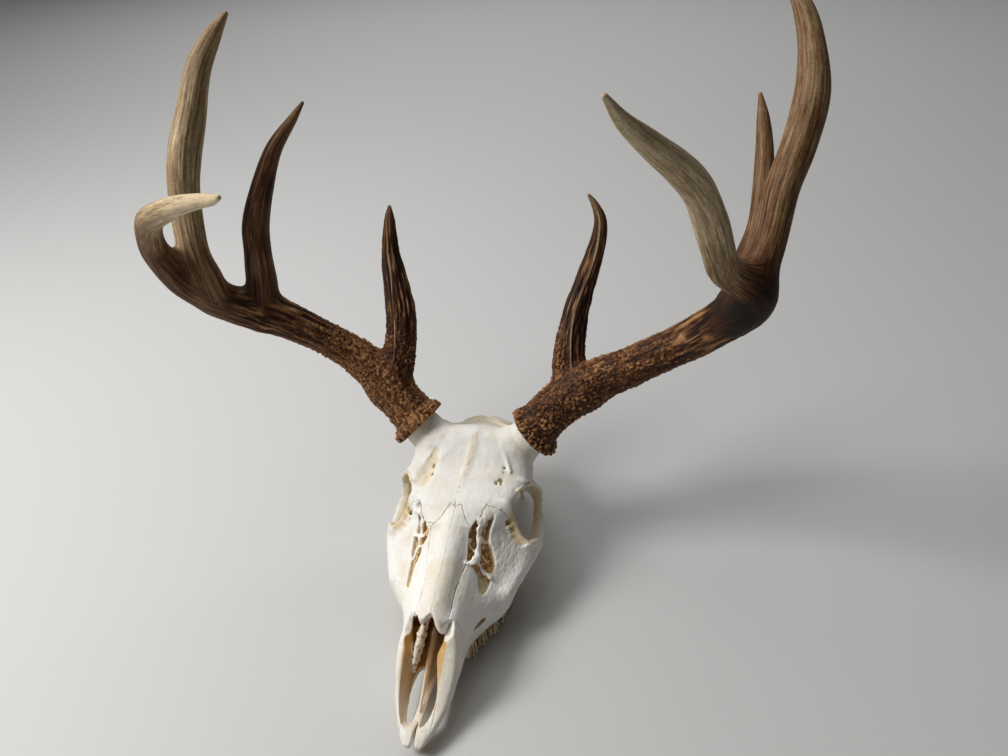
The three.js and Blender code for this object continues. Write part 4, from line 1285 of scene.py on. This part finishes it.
LIMBS = ("beam", "brow", "second", "third")
FORK_FILLET = {"brow": 9.0, "second": 11.0, "third": 11.0}
ANTLER_CELL = 0.65
LIMB_MARGIN = 14        # how far from its skin a limb still gives distances, more than any fillet needs


def smooth_path(points, step):
    """A curve through the points with one place about every `step`, and at each place the number of the
    named point that it has reached."""
    points = np.asarray(points, float)
    count = len(points)
    slopes = np.gradient(points, axis=0)
    lengths = np.linalg.norm(np.diff(points[:, :3], axis=0), axis=1)
    counts = np.ceil(lengths / step).astype(int)
    places = np.concatenate([i + np.arange(n) / n for i, n in enumerate(counts)] + [[count - 1]])
    span = np.minimum(places.astype(int), count - 2)
    t = (places - span)[:, None]
    return cubic(points[span], points[span + 1], slopes[span], slopes[span + 1], t), places


def straight_frame(points):
    """Two directions across a path at each place, turned as little as possible on the way."""
    along = np.gradient(points[:, :3], axis=0)
    along /= np.linalg.norm(along, axis=1)[:, None]
    across = [unit(np.cross(along[0], (0.2, 0.3, 1.0)))]
    for direction in along[1:]:
        across.append(unit(across[-1] - direction * (across[-1] @ direction)))
    across = np.array(across)
    return along, across, np.cross(along, across)


def limb_field(block, curve):
    """The distance to one limb, over the whole block: nearest of its short cones."""
    value = np.full(block.value.shape, FAR, np.float32)
    for start, end in zip(curve[:-1], curve[1:]):
        reach = max(start[3], end[3]) + LIMB_MARGIN
        low, high = np.minimum(start, end)[:3], np.maximum(start, end)[:3]
        spans, x, back, height = block.near(low - reach, high + reach)
        value[spans] = np.minimum(value[spans], rod([start, end])[2](x, back, height))
    return value


print("limbs:", LIMBS)

# %% [markdown]
# ## Where a point sits on its limb
# The grain of an antler runs along it. So for every point of the surface the nearest place on each
# limb's path is found: how far along, how far round, and how near. Near a fork a point belongs partly
# to two limbs, and the shares make the two grains fade into each other.

# %% Limb coordinates


def places_on_limb(points, curve, places, frame_axes):
    """For each point: length along the limb, the angle round it, the distance to its skin, and the
    number of the named point reached. The nearest short cone wins."""
    _, across, other = frame_axes
    lengths = lengths_along(curve)
    best = np.full(len(points), np.inf)
    result = np.zeros((4, len(points)))
    for i in range(len(curve) - 1):
        start, edge = curve[i, :3], curve[i + 1, :3] - curve[i, :3]
        offset = points - start
        share = (offset @ edge / (edge @ edge)).clip(0, 1)
        offset = offset - share[:, None] * edge
        radius = curve[i, 3] + share * (curve[i + 1, 3] - curve[i, 3])
        skin = np.sqrt((offset**2).sum(1)) - radius
        nearer = skin < best
        best = np.where(nearer, skin, best)
        axis_a = across[i] + share[:, None] * (across[i + 1] - across[i])
        axis_b = other[i] + share[:, None] * (other[i + 1] - other[i])
        angle = np.arctan2((offset * axis_b).sum(1), (offset * axis_a).sum(1))
        length = lengths[i] + share * (lengths[i + 1] - lengths[i])
        number = places[i] + share * (places[i + 1] - places[i])
        result = np.where(nearer, np.stack([length, angle, radius, number]), result)
    return np.concatenate([result, best[None]])


def beads(points, size, seed, spread=0.36):
    """Rounded beads: one centre in each cube `size` wide, off its middle by chance. Each point takes
    the height of the nearest centre, 1 on it and 0 from half a cube away, and that centre's own number."""
    scaled = points / size
    base = np.floor(scaled).astype(np.int64)
    nearest = np.full(len(points), np.inf)
    number = np.zeros(len(points))
    for corner in range(27):        # the point's own cube and its neighbours
        cell = base + [corner % 3 - 1, corner // 3 % 3 - 1, corner // 9 - 1]
        jitter = np.stack([hashed(cell, seed + i) for i in range(3)], axis=1)
        gap2 = ((cell + 0.5 + spread * jitter - scaled) ** 2).sum(1)
        nearer = gap2 < nearest
        nearest = np.where(nearer, gap2, nearest)
        number = np.where(nearer, hashed(cell, seed + 7), number)
    return (1 - nearest / 0.36).clip(0, 1), number


print("a bead's height at two places:", beads(np.array([[0.5, 0.2, 0.1], [7, 8, 9.5]]), 2.0, 1)[0].round(3))

# %% [markdown]
# ## The skin of the antler
# Low on the beam and on the brow tine the skin is covered in beads, in rows along the grain. Higher up
# the beads give way to long grooves where blood vessels ran, and the tips are worn smooth. The same
# numbers drive the shape and the colour: bead tops are rubbed pale, and grooves stay dark.

# %% Relief and colour of an antler
BEAD_FADE = {
    "right": {"beam": (80, 165), "brow": (30, 95), "second": (-60, -10), "third": (-60, -10)},
    "left": {"beam": (90, 190), "brow": (18, 70), "second": (-60, -10), "third": (-60, -10)},
}
RIDGE_FADE = {
    "right": {"beam": (150, 205), "brow": (110, 160), "second": (-60, -10), "third": (-60, -10)},
    "left": {"beam": (180, 208), "brow": (110, 165), "second": (-60, -10), "third": (-60, -10)},
}
GROOVE_FADE = {"beam": (0.62, 0.95), "brow": (0.6, 0.95), "second": (0.6, 1.0), "third": (0.75, 1.0)}
RUBBED = {"right": {"beam": 0.5, "brow": 0.0}, "left": {"beam": 0.02, "brow": 0.06}}
KEEL_ANGLE = {"right": -0.95, "left": -2.55}       # where a raised line runs up each brow tine


WRAP_RADIUS = 13        # the thickness at which noise on a limb has the size that its call gives


def limb_skin(limb, side_name, seed, located, total_length):
    """Height in millimetres, relief, streak, bead share and the pale line's share, from places on one
    limb. All of them are sums of noise that is stretched along the limb, each faded in and out."""
    along, angle, radius, _, _ = located
    wrapped = np.stack([np.cos(angle) * WRAP_RADIUS, np.sin(angle) * WRAP_RADIUS, along], axis=1)
    share_along = along / total_length

    def grain(width, length, number):
        """Noise whose patches are `width` across the limb and `length` along it."""
        return noise(wrapped, np.array([width, width, length]), seed + number)

    ragged_along = along + 22 * grain(9.0, 40.0, 1)
    beaded = 1 - soft_step(ragged_along, *BEAD_FADE[side_name][limb])
    long_bead, chance = beads(wrapped / [1, 1, 1.5], 2.3, seed + 2, 0.44)
    small_bead, small_chance = beads(wrapped / [1, 1, 1.2], 1.5, seed + 12, 0.44)
    rows = (0.5 + 0.8 * grain(4.5, 16.0, 3)).clip(0, 1.1)
    long_bead = long_bead * (0.45 + 0.55 * (chance > -0.4)) * (0.3 + 0.95 * rows)
    bead = np.maximum(long_bead, 0.6 * small_bead * (small_chance > -0.4))
    ridged = (1 - soft_step(ragged_along, *RIDGE_FADE[side_name][limb])) * (1 - 0.75 * beaded)
    ridge = 0.65 * grain(1.9, 18.0, 10) + 0.6 * grain(1.0, 8.0, 11)
    grooved = (1 - soft_step(share_along, *GROOVE_FADE[limb])) * (1 - 0.55 * beaded)
    wide = grain(5.5, 75.0, 4)
    narrow = grain(1.8, 34.0, 5)
    fine = grain(1.0, 20.0, 6)
    short = grain(0.9, 6.5, 14)
    channel = -np.exp(-((wide / 0.16) ** 2))
    keel = np.exp(-(((grain(7.5, 120.0, 8) - 0.1) / 0.13) ** 2))
    thick = soft_step(radius, 3, 9)
    height = beaded * (1.9 * bead - 0.4) + ridged * 1.3 * ridge
    height += thick * grooved * (0.12 * channel + 0.16 * narrow + 0.25 * keel * (0.4 + beaded))
    height += thick * 0.08 * fine * (1 - 0.5 * beaded) + 0.5 * thick * grain(11.0, 34.0, 9)
    streak = 0.28 * narrow + 0.6 * fine + 0.45 * short + 0.16 * wide
    relief = beaded * (2.0 * bead - 0.62 + RUBBED[side_name].get(limb, 0.0)) + ridged * 1.8 * ridge
    relief += (1 - beaded) * 0.06 * channel * grooved
    line = 0 * along
    if limb == "brow":
        turned = np.angle(np.exp(1j * (angle - KEEL_ANGLE[side_name] - 0.12 * np.sin(along / 14))))
        line = np.exp(-((turned * radius / 0.8) ** 2))
        line = line * (1 - soft_step(share_along, 0.8, 1)) * soft_step(along, 8, 25)
        height = height * (1 - 0.8 * line) + 0.9 * line
        line = line * (0.85 + 0.4 * grain(3.0, 9.0, 13)).clip(0, 1)
        relief = (0.85 * relief - 0.08) * (1 - line)
        beaded = beaded * (1 - line)
    return np.stack([height, relief, streak, beaded, line])


TONE = {
    # limb: how pale it is from 0 (dark chestnut) to 1 (ivory), at shares of its length
    "right": {
        "beam": ([0, 0.2, 0.42, 0.5, 0.6, 0.68, 0.8, 1.0], [0.16, 0.18, 0.24, 0.30, 0.48, 0.72, 0.96, 1.0]),
        "brow": ([0, 0.4, 0.7, 0.9, 1.0], [0.06, 0.06, 0.13, 0.22, 0.44]),
        "second": ([0, 0.3, 0.6, 0.9, 1.0], [0.22, 0.22, 0.26, 0.36, 0.44]),
        "third": ([0, 0.3, 0.6, 0.85, 1.0], [0.40, 0.70, 0.72, 0.64, 0.58]),
    },
    "left": {
        "beam": (
            [0, 0.2, 0.39, 0.44, 0.50, 0.56, 0.70, 1.0], [0.08, 0.12, 0.22, 0.02, 0.02, 0.54, 0.86, 0.88],
        ),
        "brow": ([0, 0.4, 0.7, 0.9, 1.0], [0.09, 0.11, 0.19, 0.26, 0.48]),
        "second": ([0, 0.3, 0.6, 0.9, 1.0], [0.14, 0.34, 0.40, 0.46, 0.52]),
        "third": ([0, 0.2, 0.6, 0.85, 1.0], [0.06, 0.36, 0.50, 0.52, 0.50]),
    },
}


def antler_skin(points, side_name, limbs):
    """Height, relief, streak, bead share and tone at each point, shared between the limbs near a fork,
    and the number of the part each point belongs to."""
    located = {limb: places_on_limb(points, *limbs[limb]) for limb in LIMBS}
    skins = np.stack([located[limb][4] for limb in LIMBS])
    weights = np.exp(-(skins - skins.min(0)) / 2.2)
    weights /= weights.sum(0)
    total = np.zeros((6, len(points)))
    for weight, (index, limb) in zip(weights, enumerate(LIMBS)):
        length = lengths_along(limbs[limb][0])[-1]
        seed = 100 * (index + 1) + (50 if side_name == "left" else 0)
        skin = limb_skin(limb, side_name, seed, located[limb], length)
        stops, tones = TONE[side_name][limb]
        tone = np.interp(located[limb][0] / length, stops, tones)
        total += weight * np.vstack([skin, tone])
    height, relief, streak, beaded, line, tone = total
    streak *= 0.25 + 0.75 * soft_step(tone, 0.06, 0.32)
    tone += 0.75 * line
    beam_first = np.array([0.0, 1.0, 1.0, 1.0])[:, None]
    nearest = np.argmin(skins + beam_first, axis=0)
    part = np.where(nearest > 0, nearest + 2, np.digitize(located["beam"][3], BEAM_CUTS))
    return (height, relief, streak, beaded, tone), part


print("tones at the beams' tips:", [TONE[side_name]["beam"][1][-1] for side_name in TONE])

# %% [markdown]
# ## Cutting the antler into its parts
# The parts of one antler are made as one surface, so no seam shows. The faces are then dealt out to
# the parts, and each part's open edge is closed by a fan of triangles that lies inside the antler.

# %% Dealing out the faces
PARTS = ("lower_beam", "middle_beam", "upper_beam", "brow_tine", "second_tine", "third_tine")


def boundary_of(faces):
    """The edges that only one face has, in that face's direction."""
    start, end = faces.ravel(), np.roll(faces, -1, axis=1).ravel()
    key = np.minimum(start, end) * (faces.max() + 1) + np.maximum(start, end)
    _, first, count = np.unique(key, return_index=True, return_counts=True)
    single = first[count == 1]
    return start[single], end[single]


def part_of(points, faces, values):
    """The points, faces, cap triangles and values of one part, numbered anew."""
    used = np.unique(faces)
    renumber = np.zeros(len(points), np.int64)
    renumber[used] = np.arange(len(used))
    faces = renumber[faces]
    points, values = points[used], values[:, used]
    start, end = boundary_of(faces)
    number = loops_of(start, end, len(points))[start]
    caps = []
    for loop in np.unique(number):
        edge = number == loop
        centre = points[start[edge]].mean(0)
        caps.append(np.stack([end[edge], start[edge], np.full(edge.sum(), len(points))], axis=1))
        values = np.column_stack([values, values[:, start[edge]].mean(1)])
        points = np.vstack([points, centre])
    return points, faces, np.concatenate([NO_CAPS, *caps]), values


print("parts of an antler:", PARTS)

# %% [markdown]
# ## Antler as a material
# The ground colour goes from dark chestnut near the skull, through brown, to grey tan and ivory at the
# tips. Long streaks darken and lighten it, bead tops are tan, and the ground between them is darkest.

# %% Antler material
ANTLER_TONES = [
    (0.0, linear(26, 16, 10)), (0.14, linear(66, 39, 21)), (0.30, linear(95, 62, 36)),
    (0.46, linear(123, 92, 61)), (0.62, linear(143, 119, 87)), (0.8, linear(174, 151, 115)),
    (1.0, linear(206, 186, 152)),
]
ANTLER_DARK = linear(30, 15, 7)
ANTLER_RUB = linear(174, 127, 82)
ANTLER_WARM = linear(104, 62, 32)


def antler_material(name):
    """Antler: a colour ramp by 'tone', streaks by 'streak', pale tops and dark grounds by 'relief'."""
    material, tree, shader = blank_material(name)
    place = put(tree, "ShaderNodeTexCoord").outputs["Object"]
    tone, streak, relief, beaded = (attribute(tree, key) for key in ("tone", "streak", "relief", "beaded"))
    fine = cloudy(tree, place, 480.0, 4.0, 0.65)
    cloud = cloudy(tree, place, 55.0, 4.0)
    shaken = sums(tree, "MULTIPLY_ADD", cloud, 0.3, -0.15)
    streaked = sums(tree, "MULTIPLY_ADD", streak, 0.36, tone)
    pale = sums(tree, "ADD", streaked, shaken, clamp=True)
    ramp = put(tree, "ShaderNodeValToRGB", {"Fac": pale})
    while len(ramp.color_ramp.elements) < len(ANTLER_TONES):
        ramp.color_ramp.elements.new(0.5)
    for element, (position, ground) in zip(ramp.color_ramp.elements, ANTLER_TONES):
        element.position = position
        element.color = ground
    warmth = sums(tree, "MULTIPLY", beaded, 0.75)
    colour = mixed(tree, warmth, ramp.outputs["Color"], ANTLER_WARM)
    colour = mixed(tree, carried(tree, relief, (0.1, 1.0), (0.0, 0.85)), colour, ANTLER_RUB)
    colour = mixed(tree, carried(tree, relief, (0.0, -0.55), (0.0, 0.85)), colour, ANTLER_DARK)
    grit = carried(tree, fine, (0.3, 0.62), (0.72, 1.12))
    colour = mixed(tree, 1.0, colour, grit, "MULTIPLY")
    tree.links.new(colour, shader.inputs["Base Color"])
    tree.links.new(carried(tree, fine, (0.0, 1.0), (0.46, 0.74)), shader.inputs["Roughness"])
    shader.inputs["Specular IOR Level"].default_value = 0.2
    height = sums(tree, "MULTIPLY_ADD", streak, 0.5, fine)
    bump = put(tree, "ShaderNodeBump", {"Height": height, "Strength": 0.4, "Distance": 0.0004})
    tree.links.new(bump.outputs["Normal"], shader.inputs["Normal"])
    return material


antler_look = antler_material("antler_skin")
print("antler nodes:", len(antler_look.node_tree.nodes))

# %% [markdown]
# ## Growing the two antlers
# The foot of each antler is the burr, a ring of larger beads that sits on the stalk. A flat cut across
# the stalk ends the antler there. The left antler's tables are used as they are, and the right one's x
# is swapped.

# %% Making the antlers
BURR_HEIGHT = 8.0
BURR_RING = 19.4
BURR_THICKNESS = 3.5
PATH_STEP = 4.0         # about how long each short cone of a limb is
BLOCK_MARGIN = 8


def ring(centre, axis, radius, thickness):
    """A round ring: distance to the circle of `radius` round the axis, less the thickness."""
    def distance(x, back, height):
        offset = [q - c for q, c in zip((x, back, height), centre)]
        up = sum(q * a for q, a in zip(offset, axis))
        size2 = sum(q * q for q in offset)
        out = np.sqrt(np.maximum(size2 - up * up, 0)) - radius
        return (np.sqrt(out * out + up * up * 0.75) - thickness).astype(np.float32)

    reach = radius + thickness + 1
    return centre - reach, centre + reach, distance


def antler(side_name, paths):
    """Builds one antler: its field, its surface, its skin, and its six parts."""
    flip = np.array([1 if side_name == "left" else -1, 1, 1, 1])
    limbs = {}
    for limb in LIMBS:
        curve, places = smooth_path(np.array(paths[limb]) * flip, PATH_STEP)
        limbs[limb] = (curve, places, straight_frame(curve))
    every = np.concatenate([limbs[limb][0] for limb in LIMBS])
    low = (every[:, :3] - every[:, 3:]).min(0) - BLOCK_MARGIN
    high = (every[:, :3] + every[:, 3:]).max(0) + BLOCK_MARGIN
    block = Block(low, high, ANTLER_CELL)
    block.value = limb_field(block, limbs["beam"][0])
    for limb in LIMBS[1:]:
        block.value = soft_least(block.value, limb_field(block, limbs[limb][0]), FORK_FILLET[limb])
    axis = BEAM_AXIS * flip[:3]
    foot = BURR_CENTRE * flip[:3]
    block.join(ring(foot + axis * BURR_HEIGHT / 2, axis, BURR_RING, BURR_THICKNESS), 6)
    spans, x, back, height = block.near(foot - 40, foot + 40)
    up = sum(a * (q - c) for a, q, c in zip(axis, (x, back, height), foot))
    block.value[spans] = np.maximum(block.value[spans], -up.astype(np.float32))
    points, faces = without_crumbs(*surface_of(block.value, block.low, block.cell))
    points = settled(points, faces, block.value, block)
    normals = normals_of(points, faces)
    (lift, relief, streak, beaded, tone), part = antler_skin(points, side_name, limbs)
    up = (points - foot) @ axis
    around = np.linalg.norm(points - foot - up[:, None] * axis, axis=1)
    rim = soft_step(around, 17.5, 20) * (1 - soft_step(up, 9, 12))
    bead, number = beads(points, 3.0, 900)
    lift += rim * (1.9 * bead - 0.5)
    relief += rim * (1.5 * bead * (number > -0.5) - 0.15)
    tone += rim * 0.06
    lift *= soft_step(up, 0.2, 1.5)
    points = points + normals * lift[:, None]
    values = np.stack([tone, streak, relief, beaded])
    face_part = np.median(part[faces], axis=1).astype(int)
    for index, part_name in enumerate(PARTS):
        name = f"antler_{side_name}_{part_name}"
        part_points, part_faces, caps, part_values = part_of(points, faces[face_part == index], values)
        zones = dict(zip(("tone", "streak", "relief", "beaded"), part_values))
        piece = mesh_piece(name + "_skin", part_points, part_faces, zones, caps)
        piece.data.materials.append(antler_look)
        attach(piece, "root")
        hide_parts(name)
        print(name, len(part_faces), "faces,", len(caps), "cap triangles")


antler("right", RIGHT_ANTLER)
antler("left", LEFT_ANTLER)
